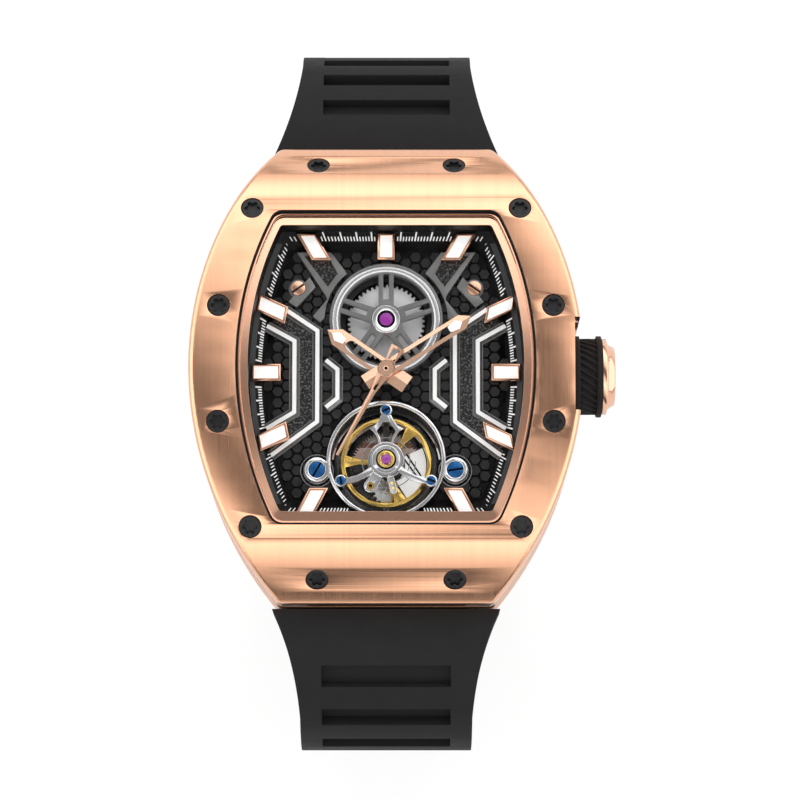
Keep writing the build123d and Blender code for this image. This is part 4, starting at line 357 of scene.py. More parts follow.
# Painted highlight: the brackets' crests are painted white and glow in place of the light they catch.
BRACKET_HIGHLIGHT = Finish("bracket_white_edge", (0.93, 0.93, 0.92), metallic=0.1, roughness=0.35, depth=0.05,
                       shade=0.03, painted_glow=0.12)
BRACKET_GREY = Finish("bracket_grey_slope", (0.23, 0.23, 0.225), metallic=0.7, roughness=0.3, shade=0.2)
GREY_STEEL = Finish("grey_steel", (0.21, 0.21, 0.205), metallic=0.5, roughness=0.36, pattern=Pattern.LINES,
                    density=(900, 6000, 6000), depth=0.2, shade=0.18)
PLATE_GREY = Finish("blackened_plate", (0.05, 0.05, 0.052), metallic=0.8, roughness=0.4, shade=0.2)
STEEL = Finish("satin_steel", (0.62, 0.62, 0.63), roughness=0.3, shade=0.08)
POLISHED_STEEL = Finish("mirror_steel", (0.86, 0.86, 0.87), roughness=0.12, depth=0.03, shade=0.03)
TURNED_STEEL = Finish("turned_steel", (0.62, 0.62, 0.62), metallic=0.8, roughness=0.24, pattern=Pattern.TURNED,
                      depth=0.15, axis=(0, 5.95 * MM, 0), shade=0.05)
GEAR_STEEL = Finish("gear_steel", (0.88, 0.88, 0.89), metallic=0.2, roughness=0.35, depth=0.05, shade=0.04)
# Painted reflection: white and glowing, for the steel plate at the foot of the cage.
PAINTED_BRIGHT_STEEL = Finish("bright_steel", (0.86, 0.86, 0.86), metallic=0.1, roughness=0.3, depth=0.05, shade=0.05,
                     painted_glow=0.45)
CAGE_GREY = Finish("cage_grey", (0.14, 0.14, 0.145), metallic=0.8, roughness=0.22, depth=0.05, shade=0.1)
BRIDGE_GREY = Finish("bridge_grey", (0.17, 0.17, 0.168), metallic=0.35, roughness=0.4, shade=0.1)
DARK_WHEEL = Finish("dark_wheel", (0.05, 0.05, 0.055), metallic=0.8, roughness=0.3, depth=0.05, shade=0.1)
SPRING_STEEL = Finish("blue_grey_steel", (0.4, 0.42, 0.47), roughness=0.3)
GILT = Finish("gilt_brass", (0.90, 0.60, 0.16), roughness=0.2, depth=0.05, shade=0.06)
BLUED = Finish("blued_steel", (0.01, 0.11, 0.32), metallic=0.55, roughness=0.25, depth=0.05, shade=0.1)
# The ruby's colour is its own; its glow is painted light.
RUBY = Finish("synthetic_ruby", (0.30, 0.03, 0.33), metallic=0.0, roughness=0.12, shade=0.25, coat=0.6,
              density=(2500, 2500, 2500), painted_glow=0.12)


@dataclass(frozen=True)
class Crystal:
    """Clear sapphire that lets light through to the dial without a dark shadow."""

    name: str = "sapphire_crystal"
    ior: float = 1.05
    specular: float = 0.1
    clear_share: float = 0.94

    @cache
    def material(self) -> bpy.types.Material:
        """Blender material of the crystal.

        Returns:
            The material, built on first use.
        """
        made, surface = new_material(self.name, {
            "Base Color": WHITE, "Roughness": 0.0, "Transmission Weight": 1.0, "IOR": self.ior,
            "Specular IOR Level": self.specular})
        tree = made.node_tree
        light = add_node(tree, "ShaderNodeLightPath").outputs
        clear = add_node(tree, "ShaderNodeBsdfTransparent")
        either = maths(tree, "MAXIMUM", light["Is Shadow Ray"], light["Is Diffuse Ray"])
        whole = blended(tree, maths(tree, "MAXIMUM", either, self.clear_share), surface, clear)
        tree.links.new(whole.outputs[0], tree.nodes["Material Output"].inputs["Surface"])
        return made


SAPPHIRE = Crystal()


# ---------------------------------------------------------------- meshes

def new_object(name: str, mesh: bpy.types.Mesh) -> Piece:
    """Object with a mesh, linked to the scene at the origin.

    Args:
        name: Name of the object.
        mesh: Its mesh.

    Returns:
        The object.
    """
    made = bpy.data.objects.new(name, mesh)
    bpy.context.scene.collection.objects.link(made)
    return made


def mesh_from(name: str, work: bmesh.types.BMesh) -> bpy.types.Mesh:
    """Mesh from a working mesh, which is freed.

    Args:
        name: Name of the mesh.
        work: Working mesh.

    Returns:
        The mesh.
    """
    mesh = bpy.data.meshes.new(name)
    work.to_mesh(mesh)
    work.free()
    return mesh


def set_finish(piece: Piece, material: bpy.types.Material) -> None:
    """Give a piece one material."""
    piece.data.materials.clear()
    piece.data.materials.append(material)


def baked(piece: Piece, name: str) -> Piece:
    """Plain copy of a piece with its modifiers applied; the first piece is removed.

    Args:
        piece: Object with live modifiers.
        name: Name of the plain object.

    Returns:
        The plain object.
    """
    graph = bpy.context.evaluated_depsgraph_get()
    mesh = bpy.data.meshes.new_from_object(piece.evaluated_get(graph))
    bpy.data.objects.remove(piece)
    mesh.name = name
    return new_object(name, mesh)


def soften_edges(piece: Piece, width: float = 0.0, segments: int = 2, angle: float = SHARP_FROM) -> Piece:
    """Round a piece's sharp edges and shade it smoothly between them.

    Args:
        piece: Object to finish.
        width: Width of the rounding in millimetres; zero leaves the edges sharp.
        segments: Steps of the rounding.
        angle: Least angle in degrees of an edge that counts as sharp.

    Returns:
        The finished object.
    """
    name = piece.name
    for polygon in piece.data.polygons:
        polygon.use_smooth = True
    if width:
        bevel = piece.modifiers.new("edges", "BEVEL")
        bevel.width = width * MM
        bevel.segments = segments
        bevel.limit_method = "ANGLE"
        bevel.angle_limit = math.radians(angle)
        bevel.harden_normals = True
        bevel.use_clamp_overlap = True
        piece.name = name + "_raw"
        return baked(piece, name)
    piece.data.set_sharp_from_angle(angle=math.radians(angle))
    return piece


def merged_copy(node: str, name: str) -> Piece:
    """Copy of a CAD node with its loose triangles joined into clean faces.

    Args:
        node: CAD node.
        name: Name of the copy.

    Returns:
        The copy.
    """
    work = bmesh.new()
    work.from_mesh(frame["nodes"][node].data)
    bmesh.ops.remove_doubles(work, verts=work.verts, dist=SAME_PLACE)
    bmesh.ops.dissolve_limit(work, angle_limit=math.radians(FLAT_WITHIN), verts=work.verts, edges=work.edges)
    return new_object(name, mesh_from(name, work))


def cut_across(work: bmesh.types.BMesh, place: Triple, normal: Triple | Vector) -> None:
    """Cut all faces of a working mesh along the plane through a place."""
    bmesh.ops.bisect_plane(work, geom=work.verts[:] + work.edges[:] + work.faces[:], dist=SAME_PLACE,
                           plane_co=place, plane_no=normal)


def plate(name: str, outline: Sequence[Point], top: float, thickness: float) -> Piece:
    """Flat plate from an outline.

    Args:
        name: Name of the piece.
        outline: Corners in millimetres, anticlockwise from above.
        top: Height of the upper face in millimetres.
        thickness: Thickness in millimetres.

    Returns:
        The closed plate.
    """
    work = bmesh.new()
    lower = [work.verts.new((x * MM, y * MM, (top - thickness) * MM)) for x, y in outline]
    upper = [work.verts.new((x * MM, y * MM, top * MM)) for x, y in outline]
    work.faces.new(upper)
    work.faces.new(lower[::-1])
    count = len(outline)
    for place in range(count):
        after = (place + 1) % count
        work.faces.new((lower[place], lower[after], upper[after], upper[place]))
    bmesh.ops.recalc_face_normals(work, faces=work.faces)
    return new_object(name, mesh_from(name, work))


def joined(name: str, pieces: Sequence[Piece]) -> Piece:
    """One object from several plain ones, which are removed.

    Args:
        name: Name of the one object.
        pieces: The plain objects.

    Returns:
        The object.
    """
    work = bmesh.new()
    for piece in pieces:
        work.from_mesh(piece.data)
    for piece in pieces:
        bpy.data.objects.remove(piece)
    return new_object(name, mesh_from(name, work))


def raised(section: Section, face: float, radius: float = 0.0) -> list[Point]:
    """Section moved out by a radius and up to the height of a face."""
    return [(radius + across, face + rise) for across, rise in section]


def lathed(name: str, profile: Sequence[Point], centre: Point, steps: int = 64) -> Piece:
    """Closed ring turned about an upright axis.

    Args:
        name: Name of the piece.
        profile: Radius and height of each corner in millimetres, in order round the section.
        centre: Place of the axis in millimetres.
        steps: Sides of the ring.

    Returns:
        The ring.
    """
    work = bmesh.new()
    rings = [[work.verts.new((*(part * MM for part in polar(centre, radius, 2 * math.pi * step / steps)),
                              height * MM)) for radius, height in profile] for step in range(steps)]
    for step in range(steps):
        first, second = rings[step], rings[(step + 1) % steps]
        for place in range(len(profile)):
            after = (place + 1) % len(profile)
            work.faces.new((first[place], second[place], second[after], first[after]))
    bmesh.ops.recalc_face_normals(work, faces=work.faces)
    return new_object(name, mesh_from(name, work))


def skinned(name: str, loops: Sequence[Sequence[Vector]], closed: bool) -> Piece:
    """Skin over loops that all have the same number of points.

    Args:
        name: Name of the piece.
        loops: Loops of points in metres, in order.
        closed: Whether the last loop joins the first; otherwise both get a cap.

    Returns:
        The closed piece.
    """
    work = bmesh.new()
    rows = [[work.verts.new(point) for point in loop] for loop in loops]
    count = len(rows[0])
    for first, second in zip(rows, rows[1:] + rows[:1] if closed else rows[1:]):
        for place in range(count):
            after = (place + 1) % count
            work.faces.new((first[place], first[after], second[after], second[place]))
    if not closed:
        work.faces.new(rows[0])
        work.faces.new(rows[-1])
    bmesh.ops.recalc_face_normals(work, faces=work.faces)
    return new_object(name, mesh_from(name, work))


def offset_line(line: Sequence[Point], amount: float) -> list[Point]:
    """Line moved sideways by an amount, with mitred corners and square ends.

    Args:
        line: Corners of the line.
        amount: Distance to its left.

    Returns:
        The moved corners.
    """
    runs = [(Vector(after) - Vector(before)).normalized() for before, after in zip(line, line[1:])]
    moved = []
    for place, corner in enumerate(line):
        before, after = runs[max(place - 1, 0)], runs[min(place, len(runs) - 1)]
        lean = (before.orthogonal() + after.orthogonal()).normalized()
        moved.append(tuple(Vector(corner) + lean * (amount / lean.dot(before.orthogonal()))))
    return moved


def ridge(name: str, line: Sequence[Point], section: Sequence[Point]) -> Piece:
    """Bar with a roofed section along a line.

    Args:
        name: Name of the piece.
        line: Corners of the bar's middle line in millimetres.
        section: Offset and height of the section's corners in millimetres, in order round it.

    Returns:
        The closed bar.
    """
    work = bmesh.new()
    sides = [[work.verts.new((x * MM, y * MM, height * MM)) for x, y in offset_line(line, offset)]
             for offset, height in section]
    for first, second in zip(sides, sides[1:] + sides[:1]):
        for place in range(len(line) - 1):
            work.faces.new((first[place], first[place + 1], second[place + 1], second[place]))
    work.faces.new([side[0] for side in sides])
    work.faces.new([side[-1] for side in sides])
    bmesh.ops.recalc_face_normals(work, faces=work.faces)
    return new_object(name, mesh_from(name, work))


def mirrored(points: Sequence[Point]) -> list[Point]:
    """Outline mirrored across the hand axis, in the same turning sense."""
    return [(-x, y) for x, y in reversed(points)]


def both_sides(name: str, outline: Sequence[Point], top: float, thickness: float) -> Piece:
    """Plate and its mirror image across the hand axis, as one piece."""
    return joined(name, [plate(name + "_left", outline, top, thickness),
                         plate(name + "_right", mirrored(outline), top, thickness)])


def second_finish(piece: Piece, finish: Finish, chosen: Callable[[Vector, Vector], bool]) -> None:
    """Give some faces of a finished piece a second finish.

    Args:
        piece: Piece that already has its first finish.
        finish: The second finish.
        chosen: Says for a face's centre in millimetres and its normal whether it gets the second finish.
    """
    piece.data.materials.append(finish.material())
    for polygon in piece.data.polygons:
        if chosen(polygon.center / MM, polygon.normal):
            polygon.material_index = len(piece.data.materials) - 1


@dataclass(frozen=True)
class Barrel:
    """Tonneau outline with bowed sides and straight ends, in millimetres."""

    width: float
    length: float
    side_radius: float
    corner: float = 0.0
    corner_start: float = 0.62
    corner_fall: float = 0.55
    end_steps: int = 6
    corner_steps: int = 8
    side_steps: int = 30

    def reach(self, angle: float) -> tuple[float, bool]:
        """Distance from the centre to the outline.

        Args:
            angle: Clock angle in radians from 12.

        Returns:
            The distance, and whether it ends on a side.
        """
        offset = self.width / 2 - self.side_radius
        lean, rise = abs(math.sin(angle)), abs(math.cos(angle))
        side = offset * lean + math.sqrt(self.side_radius ** 2 - (offset * rise) ** 2)
        end = self.length / 2 / max(rise, 1e-6)
        return (side, True) if side < end else (end, False)

    def half_width(self, y: float) -> float:
        """Half width of the outline at a height above the centre."""
        return self.width / 2 - self.side_radius + math.sqrt(self.side_radius ** 2 - y * y)

    def inset(self, amount: float) -> "Barrel":
        """Outline that lies inside this one by an amount, with the same corners."""
        return Barrel(self.width - 2 * amount, self.length - 2 * amount, self.side_radius - amount, self.corner)

    def loop(self) -> list[Point]:
        """Points round the outline with rounded corners.

        Returns:
            The same number of points for any outline, clockwise from 12.
        """
        half, cut = self.length / 2, self.corner_start * self.corner
        end, low = self.half_width(half), self.length / 2 - self.corner_fall * self.corner
        first, tip, last = Vector((end - cut, half)), Vector((end, half)), Vector((self.half_width(low), low))
        quarter = [(first.x * k / self.end_steps, half) for k in range(self.end_steps)]
        for k in range(self.corner_steps):
            share = k / self.corner_steps
            quarter.append(tuple(first.lerp(tip, share).lerp(tip.lerp(last, share), share)))
        for k in range(self.side_steps):
            y = low * (1 - k / self.side_steps)
            quarter.append((self.half_width(y), y))
        right = quarter + [(self.half_width(0), 0.0)] + [(x, -y) for x, y in reversed(quarter[1:])]
        return right + [(0.0, -half)] + [(-x, y) for x, y in reversed(right[1:])]


@dataclass(frozen=True)
class Stamp:
    """Place, turn and stretch of one copy of a repeated unit."""

    place: tuple[float, float, float]
    turn: tuple[float, float, float] = (0.0, 0.0, 0.0)
    stretch: tuple[float, float, float] = (1.0, 1.0, 1.0)


@cache
def repeat_tree() -> Tree:
    """Geometry tree that puts a unit on every point, turned and stretched by the point's own values.

    Returns:
        The tree, built on first use.
    """
    tree, start, end = new_group(
        "repeat_on_points", "GeometryNodeTree",
        [("Points", "NodeSocketGeometry", None), ("Unit", "NodeSocketObject", None),
         ("Finish", "NodeSocketMaterial", None), ("Size", "NodeSocketFloat", 1.0)],
        [("Copies", "NodeSocketGeometry")])
    unit = add_node(tree, "GeometryNodeObjectInfo", {}, Object=start.outputs["Unit"])
    turn, stretch = (
        add_node(tree, "GeometryNodeInputNamedAttribute", {"data_type": "FLOAT_VECTOR"}, Name=label)
        for label in ("turn", "stretch"))
    angle = add_node(tree, "FunctionNodeEulerToRotation", {}, Euler=turn.outputs["Attribute"])
    sized = vector_maths(tree, "SCALE", stretch.outputs["Attribute"], Scale=start.outputs["Size"])
    copies = add_node(tree, "GeometryNodeInstanceOnPoints", {}, Points=start.outputs["Points"],
                      Instance=unit.outputs["Geometry"], Rotation=angle.outputs["Rotation"],
                      Scale=sized.outputs[0])
    real = add_node(tree, "GeometryNodeRealizeInstances", {}, Geometry=copies.outputs["Instances"])
    dressed = add_node(tree, "GeometryNodeSetMaterial", {}, Geometry=real.outputs["Geometry"],
                       Material=start.outputs["Finish"])
    tree.links.new(dressed.outputs["Geometry"], end.inputs["Copies"])
    return tree


def repeated(name: str, unit: Piece, stamps: Sequence[Stamp], finish: Finish) -> Piece:
    """Plain mesh of a unit repeated at every stamp by the geometry tree.

    Args:
        name: Name of the piece.
        unit: Object to repeat, which is removed afterwards.
        stamps: Places in metres with turns and stretches.
        finish: Finish of all copies.

    Returns:
        The finished object.
    """
    mesh = bpy.data.meshes.new(name + "_points")
    mesh.from_pydata([stamp.place for stamp in stamps], [], [])
    for label in ("turn", "stretch"):
        values = mesh.attributes.new(label, "FLOAT_VECTOR", "POINT")
        for item, stamp in zip(values.data, stamps):
            item.vector = getattr(stamp, label)
    points = new_object(name + "_points", mesh)
    tree = repeat_tree()
    modifier = points.modifiers.new("repeat", "NODES")
    modifier.node_group = tree
    keys = {item.name: item.identifier for item in tree.interface.items_tree if item.in_out == "INPUT"}
    modifier[keys["Unit"]] = unit
    modifier[keys["Finish"]] = finish.material()
    modifier[keys["Size"]] = 1.0
    bpy.context.view_layer.update()
    made = baked(points, name)
    bpy.data.objects.remove(unit)
    for label in ("turn", "stretch"):
        if label in made.data.attributes:
            made.data.attributes.remove(made.data.attributes[label])
    return made


# ---------------------------------------------------------------- sub-assemblies

NODE_BODY = {node: body for body, nodes in frame["record"]["behaviour"]["bodies"].items() for node in nodes}
APERTURE = Barrel(29.9, 31.5, 37.5, 0.5)
LEDGE_DEPTH = 6.2
FLOOR_DEPTH = 7.7
SLOT_DEPTHS = (0.03, 0.32)
SLOT_FLOOR_UP = 0.9
SLOT_FLOOR_SHARE = 0.98
SLOT_WALL_SHARE = 0.86
BARREL_CENTRE = (0.0, 5.95)
CAGE_CENTRE = (0.0, -9.6)
HOUR_PLACES = ((0.0, 14.05, 0), (7.95, 14.0, 30), (-7.95, 14.0, -30), (12.5, 7.1, 65), (-12.5, 7.1, -65),
               (13.1, 0.0, 90), (-13.1, 0.0, -90), (12.3, -7.1, 115), (-12.3, -7.1, -115),
               (8.1, -14.25, 152), (-8.1, -14.25, -152))


def top_of(node: str) -> float:
    """Height in millimetres of a node's highest point."""
    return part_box(node)[1][2] / MM


@dataclass
class SubAssembly:
    """Part of the watch that dresses its own nodes and adds its own pieces."""

    dressings: Table = ()

    def build(self) -> None:
        """Dress every node of the table with its finish and edges, then add the other pieces."""
        for row in self.dressings:
            self.dress(*row)
        self.add_pieces()

    def add_pieces(self) -> None:
        """Add the pieces that need more than a clean copy of their node."""

    def dress(self, node: str, finish: Finish, width: float = 0.0, segments: int = 2) -> None:
        """Replace a node by a clean copy with softened edges and a finish.

        Args:
            node: CAD node.
            finish: Finish of the copy.
            width: Rounding of its edges in millimetres.
            segments: Steps of the rounding.
        """
        piece = soften_edges(merged_copy(node, node + "_dressed"), width, segments)
        self.settle(piece, finish, node, True)

    def settle(self, piece: Piece, finish: Finish | Crystal, node: str, stands_for: bool = False,
               slot_of: str | None = None) -> Piece:
        """Finish a piece and seat it on the body of a node.

        Args:
            piece: New piece.
            finish: Its finish.
            node: CAD node whose body it takes.
            stands_for: Whether it replaces the node.
            slot_of: Not used.

        Returns:
            The piece.
        """
        set_finish(piece, finish.material())
        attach(piece, NODE_BODY[node])
        if stands_for:
            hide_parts(node)
        log.info("%s rides on %s, %d faces", piece.name, NODE_BODY[node], len(piece.data.polygons))
        return piece

    def paint_slot_shadow(self, node: str, places: Sequence[Point], radius: float, top: float) -> None:
        """Paint shadow into the slots of a dressed node's screws.

        Args:
            node: CAD node of the screws.
            places: Their axes in millimetres.
            radius: Radius of the heads.
            top: Height of the heads' tops.
        """
        def inside(centre: Vector, normal: Vector) -> bool:
            """Whether a face lies inside a slot, on its floor or its walls.

            Args:
                centre: Centre of the face.
                normal: Its normal.

            Returns:
                True for a face that gets the painted shadow.
            """
            share = SLOT_FLOOR_SHARE if normal.z > SLOT_FLOOR_UP else SLOT_WALL_SHARE
            return (SLOT_DEPTHS[0] < top - centre.z < SLOT_DEPTHS[1]
                    and any(math.dist(centre[:2], place) < radius * share for place in places))
        # Slot floors and walls get the black slot_shadow finish: painted shade in the recess.
        second_finish(bpy.data.objects[node + "_dressed"], SLOT_BLACK, inside)


@dataclass
class Case(SubAssembly):
    """Bezel, case middle, case back, their screws and crystals."""

    dressings: Table = (
        ("bezel", BRUSHED_GOLD, 0.10), ("bezel_screws", BLACK_STEEL, 0.05), ("bezel_gasket", GASKET),
        ("case_middle", BRUSHED_GOLD_FLANK, 0.15), ("case_back", BRUSHED_GOLD_FLANK, 0.15),
        ("back_screws", BLACK_STEEL, 0.05))
    opening: Barrel = Barrel(32.5, 34.6, 38.5, 1.5)
    crest_radius: float = 74.0
    gap: float = 0.24
    seal_wall: float = 0.05
    seal_drops: Triple = (0.1, 0.8, 1.2)
    lip_width: float = 0.17
    lip_drop: float = 0.6
    lip_slope: float = 0.06
    flange_edge: float = 0.03
    face_drop: float = 1.1
    front_dip: float = 0.2
    dip_power: int = 8
    wall_start: float = 0.6
    wall_upright: float = 0.5
    glass_gap: float = 0.08
    glass_top: float = 0.45
    glass_lift: float = 0.03
    glass_shares: tuple[float, ...] = (0.02, 0.25, 0.5, 0.75, 1.0)

    def ring(self, outline: Barrel, drop: float, dip: float = 0.0, share: float = 1.0,
             depth: float | None = None) -> list[Vector]:
        """Loop of points that follows the bezel's crest.

        Args:
            outline: Outline of the loop.
            drop: How far it lies below the crest.
            dip: Extra drop at the 6 o'clock end.
            share: Size of the loop as a share of the outline.
            depth: Depth of a flat loop, which then doesn't follow the crest.

        Returns:
            The points in metres.
        """
        points = []
        for x, y in outline.loop():
            x, y = x * share, y * share
            crest = self.crest_radius - math.sqrt(self.crest_radius ** 2 - y * y)
            front = max(-2 * y / outline.length, 0.0) ** self.dip_power
            height = CASE_TOP - crest - drop - dip * front if depth is None else level(depth)
            points.append(Vector((x, y, height)) * MM)
        return points

    def shade_painted_wall(self, centre: Vector, normal: Vector) -> bool:
        """Whether a face belongs to the upright wall round the dial, painted black as shade."""
        low = centre.z < CASE_TOP - self.face_drop - self.wall_start
        return low and abs(normal.z) < self.wall_upright and normal.xy.dot(centre.xy) < 0

    def crystal_seal(self) -> Piece:
        """Black seal that lines the narrow gap between the bezel and the crystal; its deep step also covers the
        opening's wall as painted shade.

        Returns:
            The closed seal.
        """
        inner, wall = self.opening.inset(self.gap), self.opening.inset(self.seal_wall)
        top, step, foot = self.seal_drops
        corners = ((self.opening, top), (wall, top), (wall, step), (inner, step), (inner, foot),
                   (self.opening, foot))
        return skinned("crystal_seal", [self.ring(outline, drop) for outline, drop in corners], closed=True)

    def flange(self) -> Piece:
        """Gold ring under the crystal, with a raised lip round its outside.

        Returns:
            The closed ring.
        """
        outer, lip = self.opening.inset(self.gap), self.opening.inset(self.gap + self.lip_width)
        return skinned("inner_flange_dressed", [
            self.ring(outer, self.lip_drop), self.ring(lip, self.lip_drop),
            self.ring(lip.inset(self.lip_slope), self.face_drop),
            self.ring(APERTURE, self.face_drop, self.front_dip),
            self.ring(APERTURE, 0.0, depth=LEDGE_DEPTH), self.ring(outer, 0.0, depth=LEDGE_DEPTH)], closed=True)

    def glass(self) -> Piece:
        """Crystal that stands inside the lip and on the ring.

        Returns:
            The closed crystal.
        """
        edge = self.opening.inset(self.gap + self.lip_width + self.glass_gap)
        foot = self.face_drop - self.glass_lift
        upper = [self.ring(edge, self.glass_top, share=share) for share in self.glass_shares]
        lower = [self.ring(edge, foot, share=share) for share in reversed(self.glass_shares)]
        return skinned("front_crystal_dressed", upper + lower, closed=False)

    def add_pieces(self) -> None:
        """Build the ring with its inner wall painted black as shade, the seal that also paints shade in the gap,
        and the glass round the dial.
        """
        flange = soften_edges(self.flange(), self.flange_edge, 1)
        # The flange's upright inner wall gets the matte black finish as painted shade.
        second_finish(self.settle(flange, POLISHED_GOLD, "inner_flange", True), RING_BLACK, self.shade_painted_wall)
        # Partly the real black gasket, partly painted shade over the gap's wall.
        self.settle(self.crystal_seal(), GASKET, "bezel_gasket")
        self.settle(soften_edges(self.glass()), SAPPHIRE, "front_crystal", True)
        set_finish(frame["nodes"]["back_crystal"], SAPPHIRE.material())


@dataclass
class Crown(SubAssembly):
    """Crown with its gold core and rubber grip, and the parts behind it."""

    dressings: Table = (
        ("crown_core", POLISHED_GOLD, 0.12), ("crown_stem", STEEL, 0.04), ("crown_tube", STEEL, 0.04),
        ("setting_lever", STEEL, 0.03))
    knurl_start: float = 21.2
    knurl_end: float = 23.05
    axis_height: float = 51.1
    twist: float = 16.0
    steps: int = 6
    rib_edge: float = 0.05

    def add_pieces(self) -> None:
        """Build the rubber grip, whose ribs run aslant round the crown."""
        piece = merged_copy("crown_rubber", "crown_rubber_dressed")
        work = bmesh.new()
        work.from_mesh(piece.data)
        length = self.knurl_end - self.knurl_start
        for step in range(1, self.steps):
            cut_across(work, ((self.knurl_start + length * step / self.steps) * MM, 0, 0), (1, 0, 0))
        axis = Vector((0, 0, self.axis_height * MM))
        for vertex in work.verts:
            share = min(max((vertex.co.x / MM - self.knurl_start) / length, 0.0), 1.0)
            turn = Matrix.Rotation(math.radians(self.twist * share), 3, "X")
            vertex.co = turn @ (vertex.co - axis) + axis
        work.to_mesh(piece.data)
        work.free()
        self.settle(soften_edges(piece, self.rib_edge, 2), RUBBER, "crown_rubber", True)


@dataclass
class MinuteTrack(SubAssembly):
    """Sloped ring with its three hundred painted ticks and grey side bands."""

    dressings: Table = (("chapter_ring", RING_BLACK, 0.04),)
    inner: Barrel = Barrel(26.4, 27.8, 36.0)
    ticks: int = 300
    long_every: int = 5
    tick_width: float = 0.13
    long_width: float = 0.17
    paint: float = 0.03
    tick_start: Point = (0.26, 0.25)
    long_start: Point = (0.02, 0.33)
    tick_end: Point = (0.48, 0.25)
    mark_half_length: float = 1.95
    mark_half_width: float = 1.25
    cage_clear: float = 6.75
    band_steps: int = 48
    band_share: float = 0.33
    band_reach: float = 1.04
    band_lift: float = 0.015
    band_gap: float = 0.02

    def add_pieces(self) -> None:
        """Lay the ring's paint."""
        stamps = [stamp for place in range(self.ticks) for stamp in self.tick(place)]
        ticks = repeated("minute_ticks", self.unit(), stamps, WHITE_PAINT)
        self.settle(ticks, WHITE_PAINT, "hour_index_lume")
        self.settle(self.bands(), RING_GREY, "chapter_ring")

    def on_slope(self, angle: float, share: float) -> Vector:
        """Place on the slope.

        Args:
            angle: Clock angle in radians.
            share: Share of the way inwards.

        Returns:
            The place in millimetres.
        """
        distance = APERTURE.reach(angle)[0] * (1 - share) + self.inner.reach(angle)[0] * share
        depth = LEDGE_DEPTH * (1 - share) + FLOOR_DEPTH * share
        return Vector((distance * math.sin(angle), distance * math.cos(angle), level(depth)))

    def unit(self) -> Piece:
        """Flat block of paint of unit size, centred on its place.

        Returns:
            The block.
        """
        work = bmesh.new()
        bmesh.ops.create_cube(work, size=1.0)
        return new_object("tick_unit", mesh_from("tick_unit", work))

    def hidden(self, point: Vector) -> bool:
        """Whether a tick's middle lies behind an hour mark or the tourbillon's ring.

        Args:
            point: Middle of the tick in millimetres.

        Returns:
            True where the tick is left out.
        """
        for x, y, lean in HOUR_PLACES:
            along = Vector((math.sin(math.radians(lean)), math.cos(math.radians(lean))))
            offset = Vector((point.x - x, point.y - y))
            if (abs(offset.dot(along)) < self.mark_half_length
                    and abs(offset.cross(along)) < self.mark_half_width):
                return True
        return math.dist(point[:2], CAGE_CENTRE) < self.cage_clear

    def tick(self, place: int) -> list[Stamp]:
        """Stamp of one tick.

        Args:
            place: Its number round the track.

        Returns:
            The stamp, or nothing where it would be hidden.
        """
        angle = 2 * math.pi * place / self.ticks
        on_side = 1.0 if self.inner.reach(angle)[1] else 0.0
        is_long = place % self.long_every == 0
        outer, inner = (self.on_slope(angle, share + shift * on_side) for share, shift in (
            self.long_start if is_long else self.tick_start, self.tick_end))
        middle = (outer + inner) / 2
        if self.hidden(middle):
            return []
        run = (inner - outer).normalized()
        across = Vector((math.cos(angle), -math.sin(angle), 0.0))
        across = (across - run * across.dot(run)).normalized()
        turn = Matrix((across, run, across.cross(run))).transposed().to_euler()
        width = self.long_width if is_long else self.tick_width
        return [Stamp(tuple(middle * MM), tuple(turn),
                      (width * MM, (inner - outer).length * MM, self.paint * MM))]

    def bands(self) -> Piece:
        """Grey strips along the upper edge of the two side slopes.

        Returns:
            The two strips as one piece.
        """
        work = bmesh.new()
        reach = self.inner.length / 2 * self.band_reach
        for side in (1, -1):
            rows = []
            for step in range(self.band_steps + 1):
                y = reach * (2 * step / self.band_steps - 1)
                outer = Vector((APERTURE.half_width(y) - self.band_gap, y, level(LEDGE_DEPTH) + self.band_lift))
                inner = Vector((self.inner.half_width(y), y, level(FLOOR_DEPTH) + self.band_lift))
                low = outer.lerp(inner, self.band_share)
                rows.append([work.verts.new((side * p.x * MM, p.y * MM, p.z * MM)) for p in (outer, low)])
            for first, second in zip(rows, rows[1:]):
                work.faces.new((first[0], first[1], second[1], second[0]))
        bmesh.ops.recalc_face_normals(work, faces=work.faces)
        for face in work.faces:
            face.normal_update()
            if face.normal.z < 0:
                face.normal_flip()
        return new_object("side_bands", mesh_from("side_bands", work))


